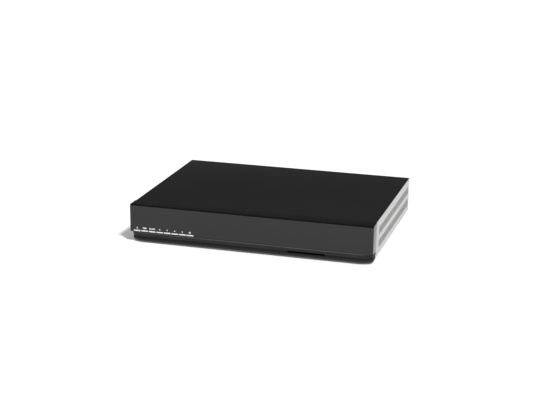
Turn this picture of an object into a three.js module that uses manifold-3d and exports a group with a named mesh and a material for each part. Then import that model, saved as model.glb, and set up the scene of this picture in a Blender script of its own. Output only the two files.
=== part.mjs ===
// A satellite receiver with a hard disk: a flat steel chassis with a black lid, a gloss moulded
// fascia on a dark plinth, eight bar buttons, and the boards, disk, fan and sockets inside.
// Millimetres. X runs to the viewer's right, Y from the fascia to the rear, Z up from the floor.
import * as THREE from "three";
import { mergeVertices } from "three/addons/utils/BufferGeometryUtils.js";
import Module from "manifold-3d";

const wasm = await Module();
wasm.setup();

// Driving dimensions
const fasciaWidth = 380;
const bodyDepth = 280;
const overallHeight = 60;
const footHeight = 4.8;
const sheet = 0.8;
const mouldedWall = 2.5;
const fit = 0.2;
const overrun = 1;
const mergeDistance = 0.0001;

// Fascia: a gloss shell open to the rear, standing a little proud of the metal body
const fasciaDepth = 22;
const fasciaBottom = 16.8;
const fasciaStep = 0.7;
const fasciaOverhang = 1;
const fasciaTopRadius = 2.4;
const fasciaEndRadius = 1.2;
const fasciaBevel = 0.8;
const fasciaFloor = 1.6;
const fasciaTabWidth = 12;
const fasciaTabReach = 5;
const fasciaTabThickness = 1.6;
const fasciaPostRadius = 2.6;
const fasciaPostInset = 6;

// Plinth: the dark moulding below the fascia, with the card slot
const plinthBottom = 1.8;
const plinthSetback = 2.5;
const plinthInset = 1.5;
const plinthCornerLength = 22;
const plinthCornerDepth = 13;
const plinthUndercut = 0.6;
const plinthUndercutHeight = 7;
const plinthWall = 2.2;
const cardSlotCentre = 89;
const cardSlotWidth = 57;
const cardSlotHeight = 2.4;
const cardSlotRise = 9.2;

// Bar buttons along the lower edge of the fascia
const buttonStart = 6.2;
const buttonSpace = 1.3;
const buttonWidth = 10.9;
const buttonHeight = 2.4;
const buttonRise = 0.8;
const buttonProud = 0.8;
const buttonTravel = 0.8;
const buttonEdge = 0.4;
const buttonFlangeHeight = 4.6;
const buttonFlange = 1.2;
const buttonStemWidth = 3;

// Front board with its switches, display and receiver for the remote
const frontBoardSetback = 12;
const boardThickness = 1.6;
const frontBoardMargin = 3;
const frontBoardDrop = 8;
const switchSize = 6;
const switchDepth = 4;
const switchPlunger = 1;
const displayCentre = 30;
const displayWidth = 42;
const displayHeight = 15;
const displayRise = 34;
const receiverGap = 8;
const receiverSize = 6;
const receiverLens = 2.2;

// Steel tray, vents and feet
const trayFlangeGap = 0.7;
const ventSlotWidth = 2.5;
const ventPitch = 5;
const ventStart = 44;
const ventRearGap = 5;
const ventBandGap = 8;
const upperVentDrop = 13.6;
const lowerVentRise = 9.6;
const footRadius = 10.5;
const footBevel = 1;
const footStudRadius = 2;
const footStudHead = 3;
const footStudGrip = 1.2;
const footInsetX = 32;
const footFrontY = 48;
const footRearGap = 35;

// Lid
const coverFlange = 10;

// Circuit boards on pressed standoffs
const standoffHeight = 5;
const standoffRadius = 3.5;
const boardScrewInset = 6;
const boardWallGap = 6.2;
const boardFanGap = 2;
const boardRearGap = 8;
const mainBoardFront = 84;

// Screws
const screwHeadRadius = 2.9;
const screwHeadHeight = 2;
const screwRadius = 1.4;
const screwLength = 5;
const screwRecess = 0.9;
const screwRecessWidth = 0.8;
const screwRecessReach = 1.8;

// Components on the main board
const chipSize = 31;
const chipThickness = 2.4;
const chipCentreX = 70;
const chipCentreY = 165;
const memorySize = 11;
const memoryThickness = 1.2;
const memoryPitch = 18;
const memoryRows = 2;
const heatSinkSize = 42;
const heatSinkBase = 3;
const heatSinkFin = 1.4;
const heatSinkFinHeight = 13;
const heatSinkFins = 8;
const smallCapacitorRadius = 4;
const smallCapacitorHeight = 12;
const smallCapacitorPitch = 14;
const smallCapacitors = 5;
const headerWidth = 20;
const headerDepth = 6;
const headerHeight = 8;

// Sockets on the rear edge of the main board
const socketProud = 0.8;
const socketDepth = 14;
const socketShell = 1.6;
const tunerWidth = 48;
const tunerDepth = 34;
const tunerHeight = 16;
const aerialPitch = 24;
const aerialRadius = 4.8;
const aerialReach = 8.5;
const aerialPinBore = 1.2;
const aerialNutAcross = 6.4;
const aerialNutThickness = 2;
const aerialNutSides = 6;
const opticalSize = 11;
const phonoWidth = 13;
const phonoHeadroom = 0.5;
const phonoCount = 3;
const phonoRadius = 4.2;
const phonoReach = 7;
const phonoBore = 1.7;
const hdmiWidth = 17;
const hdmiHeight = 8;
const usbWidth = 15;
const usbHeight = 8.4;
const usbTongue = 1.8;
const ethernetWidth = 17;
const ethernetHeight = 14;
const ethernetDepth = 22;
const scartWidth = 55;
const scartHeadroom = 1.7;
const scartDepth = 20;
const scartSlant = 5;

// Power supply
const inletWidth = 28;
const inletHeight = 19;
const inletDepth = 20;
const inletWall = 3.4;
const inletWellDepth = 12;
const inletPinRadius = 1.1;
const inletPinPitch = 8.6;
const inletPinLength = 9;
const transformerSize = 34;
const transformerHeight = 27;
const transformerInset = 18.8;
const transformerGap = 4;
const powerGap = 1;
const transformerCore = 9;
const bobbinFlange = 1.5;
const reservoirRadius = 11;
const reservoirHeight = 32;
const reservoirBead = 0.6;
const plateSinkThickness = 2;
const plateSinkWidth = 22;
const plateSinkHeight = 30;
const plateSinkFoot = 9;
const plateSinkSetback = 8;
const plateSinkInset = 13;
const fuseRadius = 2.6;
const fuseLength = 20;

// Rocker switch
const rockerLift = 1.1;
const rockerFrameWidth = 15;
const rockerFrameHeight = 21;
const rockerFlange = 1.6;
const rockerFrameWall = 1.8;
const rockerBodyDepth = 13;
const rockerPivotRadius = 1.2;
const rockerFaceReach = 2.4;
const rockerTilt = THREE.MathUtils.degToRad(9);

// Hard disk on its bracket
const diskWidth = 69.85;
const diskLength = 100.2;
const diskHeight = 9.5;
const diskWallGap = 10.2;
const diskFront = 32;
const diskRise = 9;
const diskLidStep = 1;
const diskPlugWidth = 33;
const diskPlugHeight = 5;
const diskPlugDepth = 5;
const bracketThickness = 1.2;
const bracketMargin = 4;
const bracketFoot = 10;
const bracketHoleShare = 0.26;
const diskScrewInsetX = 4.07;
const diskScrewFrontY = 9.6;
const diskScrewRearY = 14;
const diskHoleDepth = 4.5;

// Fan
const fanSize = 40;
const fanFloorGap = 1.2;
const fanDepth = 10;
const fanWall = 1.2;
const fanHubRadius = 10.8;
const fanTipGap = 0.6;
const fanBladeThickness = 1;
const fanBladeRoom = 0.7;
const fanBladePitch = THREE.MathUtils.degToRad(38);
const fanBlades = 7;
const fanStrut = 2.4;
const fanStruts = 3;
const fanMount = 1.5;
const fanHoleInset = 4;
const grilleSlot = 3;
const grillePitch = 4.6;
const grilleRim = 0.8;

// Smart-card reader
const readerWidth = 63;
const readerLength = 62;
const readerSeat = 0.4;

// Leads
const leadRadius = 2.2;
const thinLeadRadius = 1.2;
const leadGap = 0.3;
const leadRise = 14;

// Steps of a round section
const fineSteps = 24;
const roundSteps = 12;
const leadSides = 8;
const leadSteps = 16;

// Heights and faces that several pieces share
const bodyHalf = fasciaWidth / 2 - fasciaOverhang;
const coverTop = overallHeight - fasciaStep;
const coverUnder = coverTop - sheet;
const trayFront = fasciaDepth + fit;
const trayFloor = footHeight + sheet;
const trayTop = coverUnder - fit;
const panelInner = bodyDepth - sheet;
const boardUnder = trayFloor + standoffHeight + fit;
const boardTop = boardUnder + boardThickness;
const boardRear = bodyDepth - boardRearGap;
const seatOnBoard = boardTop + fit;
const plinthTop = fasciaBottom - fit;
const buttonBase = fasciaBottom + buttonRise;
const buttonPitch = buttonWidth + buttonSpace;
const socketMouth = bodyDepth + socketProud;

// Materials
const finish = (color, roughness, metalness) => new THREE.MeshStandardMaterial(
  { color, roughness, metalness },
);
const glossBlack = finish(0x101011, 0.08, 0);
const mattBlack = finish(0x1c1c1d, 0.55, 0);
const lidBlack = finish(0x161617, 0.5, 0.1);
const silverSteel = finish(0xd2d2cf, 0.4, 0.6);
const buttonWhite = finish(0xf2f2f0, 0.35, 0);
const rubber = finish(0x202020, 0.9, 0);
const boardGreen = finish(0x1f5a36, 0.5, 0);
const boardTan = finish(0xa98a4f, 0.6, 0);
const aluminium = finish(0xb9bbbd, 0.35, 0.9);
const tinplate = finish(0xc4c4c0, 0.3, 0.9);
const socketBlack = finish(0x151515, 0.5, 0);
const leadGrey = finish(0x8c8c8c, 0.6, 0);
const copperTape = finish(0xc9a33a, 0.5, 0);
const sleeveBlue = finish(0x23355c, 0.4, 0);

// Outlines in a plane
const rectangle = (u0, u1, v0, v1) =>
  new THREE.Shape([
    new THREE.Vector2(u0, v0),
    new THREE.Vector2(u1, v0),
    new THREE.Vector2(u1, v1),
    new THREE.Vector2(u0, v1),
  ]);
const polygon = (points) => new THREE.Shape(points.map(([u, v]) => new THREE.Vector2(u, v)));
function disc(u, v, radius, sides = roundSteps) {
  const points = [];
  for (let i = 0; i < sides; i++) {
    const turn = (2 * Math.PI * (i + 1 / 2)) / sides;
    points.push([u + radius * Math.cos(turn), v + radius * Math.sin(turn)]);
  }
  return polygon(points);
}

// A closed geometry as a solid, and a solid as a geometry
function solidOf(geometry) {
  const bare = geometry.index ? geometry.toNonIndexed() : geometry;
  bare.deleteAttribute("normal");
  bare.deleteAttribute("uv");
  const merged = mergeVertices(bare, mergeDistance);
  return new wasm.Manifold(
    new wasm.Mesh({
      numProp: 3,
      vertProperties: merged.attributes.position.array,
      triVerts: new Uint32Array(merged.index.array),
    }),
  );
}
function geometryOf(solid) {
  const mesh = solid.getMesh();
  const geometry = new THREE.BufferGeometry();
  geometry.setAttribute("position", new THREE.BufferAttribute(mesh.vertProperties, 3));
  geometry.setIndex(new THREE.BufferAttribute(mesh.triVerts, 1));
  const flat = geometry.toNonIndexed();
  flat.computeVertexNormals();
  return flat;
}

// A shape drawn across an axis and run along it. Across X it is drawn in Y and Z, across Y in X
// and Z, across Z in X and Y.
function prism(shape, axis, from, to) {
  const geometry = new THREE.ExtrudeGeometry(shape, { depth: 1, bevelEnabled: false, steps: 1 });
  const place = geometry.attributes.position;
  for (let i = 0; i < place.count; i++) {
    const u = place.getX(i);
    const v = place.getY(i);
    const far = place.getZ(i) > 1 / 2;
    if (axis === "x") place.setXYZ(i, far ? to : from, u, v);
    if (axis === "y") place.setXYZ(i, u, far ? from : to, v);
    if (axis === "z") place.setXYZ(i, u, v, far ? to : from);
  }
  return solidOf(geometry);
}
const block = (x0, x1, y0, y1, z0, z1) => prism(rectangle(x0, x1, y0, y1), "z", z0, z1);
const rod = (axis, u, v, radius, from, to, sides) => prism(disc(u, v, radius, sides), axis, from, to);
const join = (...solids) => wasm.Manifold.union(solids);
const cut = (whole, ...tools) => wasm.Manifold.difference([whole, ...tools]);

// Rings of equal count, one above the other, joined by sides and closed by a cap at each end
function loft(rings) {
  const count = rings[0].points.length;
  const caps = THREE.ShapeUtils.triangulateShape(
    rings[0].points.map(([x, y]) => new THREE.Vector2(x, y)),
    [],
  );
  const corner = (ring, i) => [...rings[ring].points[i % count], rings[ring].z];
  const faces = [];
  caps.forEach(([a, b, c]) => {
    const last = rings.length - 1;
    faces.push(...corner(0, c), ...corner(0, b), ...corner(0, a));
    faces.push(...corner(last, a), ...corner(last, b), ...corner(last, c));
  });
  for (let r = 0; r + 1 < rings.length; r++) {
    for (let i = 0; i < count; i++) {
      faces.push(...corner(r, i), ...corner(r, i + 1), ...corner(r + 1, i + 1));
      faces.push(...corner(r, i), ...corner(r + 1, i + 1), ...corner(r + 1, i));
    }
  }
  const geometry = new THREE.BufferGeometry();
  geometry.setAttribute("position", new THREE.Float32BufferAttribute(faces, 3));
  return solidOf(geometry);
}

// A turned solid about a line along Z, from pairs of radius and height that start and end on it
function turned(profile, sides) {
  const points = profile.map(([radius, height]) => new THREE.Vector2(radius, height));
  const geometry = new THREE.LatheGeometry(points, sides);
  geometry.rotateX(Math.PI / 2);
  return solidOf(geometry);
}

const receiver = new THREE.Group();
function piece(name, solid, material, x = 0, y = 0, z = 0) {
  const mesh = new THREE.Mesh(geometryOf(solid), material);
  mesh.name = name;
  mesh.position.set(x, y, z);
  receiver.add(mesh);
}

// Along the rear, the sockets, the rocker and the fan follow each other after equal gaps
const innerHalf = bodyHalf - sheet;
const rearWidths = [
  inletWidth,
  rockerFrameWidth,
  fanSize,
  tunerWidth,
  opticalSize,
  phonoWidth,
  hdmiWidth,
  usbWidth,
  ethernetWidth,
  scartWidth,
];
const total = (widths) => widths.reduce((sum, width) => sum + width, 0);
const rearGap = (2 * innerHalf - total(rearWidths)) / (rearWidths.length + 1);
const [
  inletCentre,
  rockerCentreX,
  fanCentreX,
  tunerCentre,
  opticalCentre,
  phonoCentre,
  hdmiCentre,
  usbCentre,
  ethernetCentre,
  scartCentre,
] = rearWidths.map(
  (width, i) => -innerHalf + (i + 1) * rearGap + total(rearWidths.slice(0, i)) + width / 2,
);

// The rocker stands just above the board and the fan just above the floor. The blades and the
// grille follow the fan's bore.
const rockerCentreZ = boardTop + rockerLift + rockerFrameHeight / 2;
const fanCentreZ = trayFloor + fit + fanFloorGap + fanSize / 2;
const fanBoreRadius = fanSize / 2 - fanWall;
const fanBladeRadius = fanBoreRadius - fanTipGap;
const grilleRadius = fanBoreRadius - grilleRim;

// The boards fill the room on either side of the fan
const powerBoardLeft = -innerHalf + boardWallGap;
const powerBoardRight = fanCentreX - fanSize / 2 - boardFanGap;
const transformerY = bodyDepth - inletDepth - transformerGap - transformerSize / 2;
const reservoirX = powerBoardLeft + powerGap + reservoirRadius;
const reservoirY = transformerY - transformerSize / 2 - powerGap - reservoirRadius;
const powerBoardFront = reservoirY - reservoirRadius - powerGap;
const mainBoardLeft = fanCentreX + fanSize / 2 + boardFanGap;
const mainBoardRight = innerHalf - boardWallGap;

// Places that several pieces share
const wallWindowLeft = mainBoardLeft;
const fasciaHalf = fasciaWidth / 2;
const frontBoardLeft = -fasciaHalf + mouldedWall + fit + fasciaEndRadius;
const displayRight = displayCentre + displayWidth / 2;
const receiverLeft = displayRight + receiverGap;
const receiverCentre = receiverLeft + receiverSize / 2;
const frontBoardRight = receiverCentre + receiverSize / 2 + frontBoardMargin;
const frontBoardTop = overallHeight - frontBoardDrop;
const coverFlangeLow = coverUnder - coverFlange;
const phonoPitch = (coverFlangeLow - seatOnBoard - phonoHeadroom) / phonoCount;
const scartHeight = (coverFlangeLow - seatOnBoard - fit - scartHeadroom) / 2;
const diskLeft = -innerHalf + diskWallGap;
const readerBase = trayFloor + readerSeat;
const plinthCeiling = plinthTop - plinthWall;
const readerHeight = plinthCeiling - readerSeat - readerBase;
const tabTop = overallHeight - mouldedWall;
const fasciaTabs = [-1, 0, 1].map((side) => side * (fasciaHalf - footInsetX));
const buttonLeft = (index) => -fasciaHalf + buttonStart + index * buttonPitch;
const buttonNames = ["standby", "menu", "guide", "left", "down", "up", "right", "ok"];
const postPlaces = [
  [-fasciaHalf + fasciaPostInset + fasciaEndRadius + mouldedWall, frontBoardTop - fasciaPostInset],
  [(frontBoardLeft + frontBoardRight) / 2, frontBoardTop - fasciaPostInset],
  [(displayRight + receiverLeft) / 2, frontBoardTop - fasciaPostInset],
];

// Places of the screws, used by the screws and by the holes they pass
const boardScrews = [
  [mainBoardLeft + boardScrewInset, mainBoardFront + boardScrewInset],
  [mainBoardRight - boardScrewInset, mainBoardFront + boardScrewInset],
  [mainBoardLeft + boardScrewInset, boardRear - tunerDepth - boardScrewInset],
  [mainBoardRight - boardScrewInset, boardRear - scartDepth - boardScrewInset],
];
const powerStandoffs = [
  [powerBoardLeft + boardScrewInset, powerBoardFront + boardScrewInset],
  [powerBoardRight - boardScrewInset, powerBoardFront + boardScrewInset],
  [powerBoardRight - boardScrewInset, boardRear - boardScrewInset],
];
const coverScrewX = [-bodyHalf + footInsetX, 0, bodyHalf - footInsetX];
const coverScrewZ = coverUnder - coverFlange / 2;
const fanScrewReach = fanSize / 2 - fanHoleInset;
const fanScrews = [
  [fanCentreX - fanScrewReach, fanCentreZ - fanScrewReach],
  [fanCentreX + fanScrewReach, fanCentreZ - fanScrewReach],
];
const diskScrews = [];
for (const x of [diskLeft + diskScrewInsetX, diskLeft + diskWidth - diskScrewInsetX]) {
  diskScrews.push([x, diskFront + diskScrewFrontY], [x, diskFront + diskLength - diskScrewRearY]);
}
const feet = {
  foot_front_left: [-bodyHalf + footInsetX, footFrontY],
  foot_front_right: [bodyHalf - footInsetX, footFrontY],
  foot_rear_left: [-bodyHalf + footInsetX, bodyDepth - footRearGap],
  foot_rear_right: [bodyHalf - footInsetX, bodyDepth - footRearGap],
};
const hole = (axis, u, v, from, to, radius = screwRadius + fit, sides = leadSides) =>
  rod(axis, u, v, radius, from - overrun, to + overrun, sides);

// Chassis tray: floor, front wall and two vented side walls folded from one sheet
function ventSlots(from, to) {
  const slots = [];
  const upperTop = overallHeight - upperVentDrop;
  const lowerBase = footHeight + lowerVentRise;
  const height = (upperTop - lowerBase - ventBandGap) / 2;
  for (const base of [lowerBase, upperTop - height]) {
    for (let y = ventStart; y + ventSlotWidth <= bodyDepth - ventRearGap; y += ventPitch) {
      slots.push(block(from - overrun, to + overrun, y, y + ventSlotWidth, base, base + height));
    }
  }
  return slots;
}
function chassisTray() {
  const flangeRear = panelInner - fit;
  const flangeInner = innerHalf - rearGap + trayFlangeGap;
  const folded = polygon([
    [-bodyHalf, footHeight],
    [bodyHalf, footHeight],
    [bodyHalf, trayTop],
    [innerHalf, trayTop],
    [innerHalf, trayFloor],
    [-innerHalf, trayFloor],
    [-innerHalf, trayTop],
    [-bodyHalf, trayTop],
  ]);
  const lapped = sheet / 2;
  const standoffs = [...boardScrews, ...powerStandoffs].map(([x, y]) =>
    rod("z", x, y, standoffRadius, trayFloor - lapped, boardUnder - fit, leadSides),
  );
  const tray = join(
    prism(folded, "y", trayFront, bodyDepth),
    block(
      -innerHalf - lapped,
      innerHalf + lapped,
      trayFront,
      trayFront + sheet,
      trayFloor - lapped,
      trayTop,
    ),
    block(-innerHalf - lapped, -flangeInner, flangeRear - sheet, flangeRear, trayFloor - lapped, trayTop),
    block(flangeInner, innerHalf + lapped, flangeRear - sheet, flangeRear, trayFloor - lapped, trayTop),
    ...standoffs,
  );
  const frontFrom = trayFront - overrun;
  const frontTo = trayFront + sheet + overrun;
  const readerHalf = readerWidth / 2 + readerSeat;
  const readerLeft = cardSlotCentre - readerHalf;
  const readerTop = trayFloor + readerHeight + 2 * readerSeat;
  const windowRight = wallWindowLeft + headerWidth + 2 * headerDepth;
  return cut(
    tray,
    ...ventSlots(-bodyHalf, -innerHalf),
    ...ventSlots(innerHalf, bodyHalf),
    ...boardScrews.map(([x, y]) => hole("z", x, y, footHeight, boardUnder)),
    ...Object.values(feet).map(
      ([x, y]) => hole("z", x, y, footHeight, trayFloor, footStudRadius + fit, roundSteps),
    ),
    block(
      readerLeft,
      cardSlotCentre + readerHalf,
      frontFrom,
      frontTo,
      trayFloor + readerSeat / 2,
      readerTop,
    ),
    block(
      wallWindowLeft,
      windowRight,
      frontFrom,
      frontTo,
      displayRise - headerDepth,
      displayRise + headerDepth,
    ),
    ...fasciaTabs.map((x) => {
      const half = fasciaTabWidth / 2 + fit;
      const top = tabTop + fit;
      return block(x - half, x + half, frontFrom, frontTo, top - fasciaTabThickness - 2 * fit, top);
    }),
  );
}

// Fascia: profile run from end to end, its ends rounded in plan, hollow behind
function fascia() {
  const profile = [
    [fasciaDepth, fasciaBottom],
    [fasciaDepth, overallHeight],
  ];
  for (let i = 0; i <= roundSteps / 2; i++) {
    const turn = (Math.PI * i) / roundSteps;
    profile.push([
      fasciaTopRadius * (1 - Math.sin(turn)),
      overallHeight - fasciaTopRadius * (1 - Math.cos(turn)),
    ]);
  }
  profile.push([0, fasciaBottom + fasciaBevel], [fasciaBevel, fasciaBottom]);
  const plan = [[-fasciaHalf, fasciaDepth]];
  for (let i = 0; i <= roundSteps / 4; i++) {
    const turn = (2 * Math.PI * i) / roundSteps;
    plan.push([
      -fasciaHalf + fasciaEndRadius * (1 - Math.cos(turn)),
      fasciaEndRadius * (1 - Math.sin(turn)),
    ]);
  }
  const planRight = plan.map(([x, y]) => [-x, y]).reverse();
  let shell = prism(polygon(profile), "x", -fasciaHalf, fasciaHalf).intersect(
    prism(polygon([...plan, ...planRight]), "z", fasciaBottom, overallHeight),
  );
  const inner = fasciaHalf - mouldedWall;
  const floorTop = fasciaBottom + fasciaFloor;
  shell = shell.subtract(block(-inner, inner, mouldedWall, fasciaDepth + overrun, floorTop, tabTop));
  for (let i = 0; i < buttonNames.length; i++) {
    const left = buttonLeft(i);
    const top = buttonBase + buttonHeight + fit;
    shell = shell.subtract(
      block(
        left - fit,
        left + buttonWidth + fit,
        -overrun,
        frontBoardSetback,
        fasciaBottom - overrun,
        top,
      ),
    );
  }
  for (const x of fasciaTabs) {
    const half = fasciaTabWidth / 2;
    const reach = fasciaDepth + fasciaTabReach;
    shell = shell.add(block(x - half, x + half, mouldedWall, reach, tabTop - fasciaTabThickness, tabTop));
  }
  for (const [x, z] of postPlaces) {
    shell = shell.add(
      rod("y", x, z, fasciaPostRadius, mouldedWall / 2, frontBoardSetback - fit, leadSides),
    );
  }
  return shell;
}

// Plinth: rounded in plan at both ends, its lower edge drawn in, hollow below and behind
function plinthOutline(inset) {
  const half = fasciaHalf - plinthInset - inset;
  const cornerLength = plinthCornerLength - inset;
  const cornerDepth = plinthCornerDepth - inset;
  const points = [[-half, fasciaDepth]];
  for (let i = 0; i <= roundSteps / 2; i++) {
    const turn = (Math.PI * i) / roundSteps;
    points.push([
      -half + cornerLength * (1 - Math.cos(turn)),
      plinthSetback + inset + cornerDepth * (1 - Math.sin(turn)),
    ]);
  }
  return [...points, ...points.map(([x, y]) => [-x, y]).reverse()];
}
function plinth() {
  const bend = plinthBottom + plinthUndercutHeight;
  const outer = loft([
    { points: plinthOutline(plinthUndercut), z: plinthBottom },
    { points: plinthOutline(0), z: bend },
    { points: plinthOutline(0), z: plinthTop },
  ]);
  const hollow = loft([
    { points: plinthOutline(plinthUndercut + plinthWall), z: plinthBottom - overrun },
    { points: plinthOutline(plinthUndercut + plinthWall), z: plinthBottom },
    { points: plinthOutline(plinthWall), z: bend },
    { points: plinthOutline(plinthWall), z: plinthCeiling },
  ]);
  const slotHalf = cardSlotWidth / 2;
  const openHalf = fasciaHalf - plinthInset - plinthUndercut - plinthWall;
  return cut(
    outer,
    hollow,
    block(
      -openHalf,
      openHalf,
      fasciaDepth - plinthWall,
      fasciaDepth + overrun,
      plinthBottom - overrun,
      plinthCeiling,
    ),
    block(
      cardSlotCentre - slotHalf,
      cardSlotCentre + slotHalf,
      0,
      fasciaDepth,
      cardSlotRise - cardSlotHeight / 2,
      cardSlotRise + cardSlotHeight / 2,
    ),
  );
}

// Bar button: a face with softened edges, a flange behind the fascia and a stem to its switch
function button(left) {
  const right = left + buttonWidth;
  const top = buttonBase + buttonHeight;
  const flangeFront = mouldedWall + fit;
  const flangeRear = flangeFront + buttonFlange;
  const middle = (left + right) / 2;
  const faceProfile = polygon([
    [flangeRear, buttonBase],
    [flangeRear, top],
    [-buttonProud + buttonEdge, top],
    [-buttonProud, top - buttonEdge],
    [-buttonProud, buttonBase + buttonEdge],
    [-buttonProud + buttonEdge, buttonBase],
  ]);
  const stemHalf = buttonStemWidth / 2;
  const stemTop = buttonBase + buttonFlangeHeight - buttonEdge;
  const stemRear = frontBoardSetback - switchDepth - switchPlunger - buttonTravel - fit;
  return join(
    prism(faceProfile, "x", left, right),
    block(left, right, flangeFront, flangeRear, buttonBase, buttonBase + buttonFlangeHeight),
    block(middle - stemHalf, middle + stemHalf, flangeFront, stemRear, top, stemTop),
  );
}

// Front board with eight switches, one behind each stem, and the header of its lead
const frontBoardBase = fasciaBottom + fasciaFloor + fit;
const frontHeaderX = wallWindowLeft + headerDepth + headerWidth / 2;
function frontBoard() {
  const rear = frontBoardSetback + boardThickness;
  let board = block(
    frontBoardLeft,
    frontBoardRight,
    frontBoardSetback,
    rear,
    frontBoardBase,
    frontBoardTop,
  );
  for (let i = 0; i < buttonNames.length; i++) {
    const x = buttonLeft(i) + buttonWidth / 2;
    const half = switchSize / 2;
    const low = frontBoardBase + fit;
    const plungerZ = buttonBase + buttonHeight + buttonStemWidth / 4;
    board = join(
      board,
      block(
        x - half,
        x + half,
        frontBoardSetback - switchDepth,
        frontBoardSetback,
        low,
        low + switchSize,
      ),
      rod(
        "y",
        x,
        plungerZ,
        switchSize / 4,
        frontBoardSetback - switchDepth - switchPlunger,
        frontBoardSetback,
        leadSides,
      ),
    );
  }
  const headerHalf = headerWidth / 2;
  const low = displayRise - headerDepth / 2;
  return board.add(
    block(
      frontHeaderX - headerHalf,
      frontHeaderX + headerHalf,
      rear,
      rear + headerDepth,
      low,
      low + headerDepth,
    ),
  );
}

// Display module and infrared receiver, between the fascia's wall and the front board
function statusDisplay() {
  const half = displayWidth / 2;
  const low = displayRise - displayHeight / 2;
  return block(
    displayCentre - half,
    displayCentre + half,
    mouldedWall + fit,
    frontBoardSetback - fit,
    low,
    low + displayHeight,
  );
}
function infraredReceiver() {
  const half = receiverSize / 2;
  const front = mouldedWall + fit + receiverLens;
  return join(
    block(
      receiverCentre - half,
      receiverCentre + half,
      front,
      frontBoardSetback - fit,
      displayRise - half,
      displayRise + half,
    ),
    rod(
      "y",
      receiverCentre,
      displayRise,
      receiverLens,
      mouldedWall + fit,
      frontBoardSetback - fit,
      roundSteps,
    ),
  );
}

// Lid: a flat sheet with a flange down each side, inside the tray, and one down over the rear panel
function topCover() {
  const flangeOuter = innerHalf - fit;
  const rearFlange = bodyDepth + fit;
  const sideFront = trayFront + sheet + fit;
  const sideRear = panelInner - sheet - 2 * fit;
  let lid = join(
    block(-bodyHalf, bodyHalf, trayFront, rearFlange + sheet, coverUnder, coverTop),
    block(-flangeOuter, -flangeOuter + sheet, sideFront, sideRear, coverFlangeLow, coverTop),
    block(flangeOuter - sheet, flangeOuter, sideFront, sideRear, coverFlangeLow, coverTop),
    block(-bodyHalf, bodyHalf, rearFlange, rearFlange + sheet, coverFlangeLow, coverTop),
  );
  for (const x of coverScrewX) {
    lid = lid.subtract(hole("y", x, coverScrewZ, rearFlange, rearFlange + sheet));
  }
  return lid;
}

// Rear panel with a hole for each socket, the fan's grille and the screws
const aerialRise = seatOnBoard + tunerHeight / 2;
const aerialX = [tunerCentre - aerialPitch / 2, tunerCentre + aerialPitch / 2];
const phonoRise = Array.from(
  { length: phonoCount },
  (_, row) => seatOnBoard + phonoPitch * (row + 1 / 2),
);
const upperScartBase = seatOnBoard + scartHeight + fit;
const mouths = [
  [opticalCentre, opticalSize, seatOnBoard, opticalSize],
  [hdmiCentre, hdmiWidth, seatOnBoard, hdmiHeight],
  [usbCentre, usbWidth, seatOnBoard, usbHeight],
  [ethernetCentre, ethernetWidth, seatOnBoard, ethernetHeight],
  [scartCentre, scartWidth, seatOnBoard, 2 * scartHeight + fit],
  [inletCentre, inletWidth, seatOnBoard, inletHeight],
];
const rockerNeckWidth = rockerFrameWidth - 2 * rockerFlange;
const rockerNeckHeight = rockerFrameHeight - 2 * rockerFlange;
const coverScrewHoles = (from, to) => coverScrewX.map((x) => hole("y", x, coverScrewZ, from, to));
function rearPanel() {
  const half = innerHalf - fit;
  const from = panelInner - overrun;
  const to = bodyDepth + overrun;
  const neckHalf = rockerNeckWidth / 2 + fit;
  const neckRise = rockerNeckHeight / 2 + fit;
  const slots = [];
  const rows = Math.floor(grilleRadius / grillePitch);
  for (let row = -rows; row <= rows; row++) {
    const z = fanCentreZ + row * grillePitch;
    const reach = Math.sqrt(grilleRadius ** 2 - (row * grillePitch) ** 2);
    slots.push(
      block(fanCentreX - reach, fanCentreX + reach, from, to, z - grilleSlot / 2, z + grilleSlot / 2),
    );
  }
  return cut(
    block(-half, half, panelInner, bodyDepth, trayFloor + fit, trayTop),
    ...mouths.map(([centre, width, base, height]) =>
      block(
        centre - width / 2 - fit,
        centre + width / 2 + fit,
        from,
        to,
        base - fit,
        base + height + fit,
      ),
    ),
    ...aerialX.map((x) => hole("y", x, aerialRise, from, to, aerialRadius + fit, roundSteps)),
    ...phonoRise.map((z) => hole("y", phonoCentre, z, from, to, phonoRadius + fit, roundSteps)),
    block(
      rockerCentreX - neckHalf,
      rockerCentreX + neckHalf,
      from,
      to,
      rockerCentreZ - neckRise,
      rockerCentreZ + neckRise,
    ),
    ...slots,
    ...coverScrewHoles(from, to),
    ...fanScrews.map(([x, z]) => hole("y", x, z, from, to)),
  );
}

// Rubber foot: a turned pad with a stud that grips the tray from inside
function foot() {
  const top = footHeight - fit;
  const grip = trayFloor + fit;
  return turned(
    [
      [0, 0],
      [footRadius - footBevel, 0],
      [footRadius, footBevel],
      [footRadius, top],
      [footStudRadius, top],
      [footStudRadius, grip],
      [footStudHead, grip],
      [footStudHead, grip + footStudGrip],
      [0, grip + footStudGrip],
    ],
    roundSteps,
  );
}

// Screw with a cross recess, its head resting on z = 0 and its shank below
function screw(length) {
  const recess = screwRecessWidth / 2;
  const low = screwHeadHeight - screwRecess;
  const high = screwHeadHeight + overrun;
  return cut(
    join(
      rod("z", 0, 0, screwHeadRadius, 0, screwHeadHeight, leadSides),
      rod("z", 0, 0, screwRadius, -length, 0, leadSides),
    ),
    block(-recess, recess, -screwRecessReach, screwRecessReach, low, high),
    block(-screwRecessReach, screwRecessReach, -recess, recess, low, high),
  );
}

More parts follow.
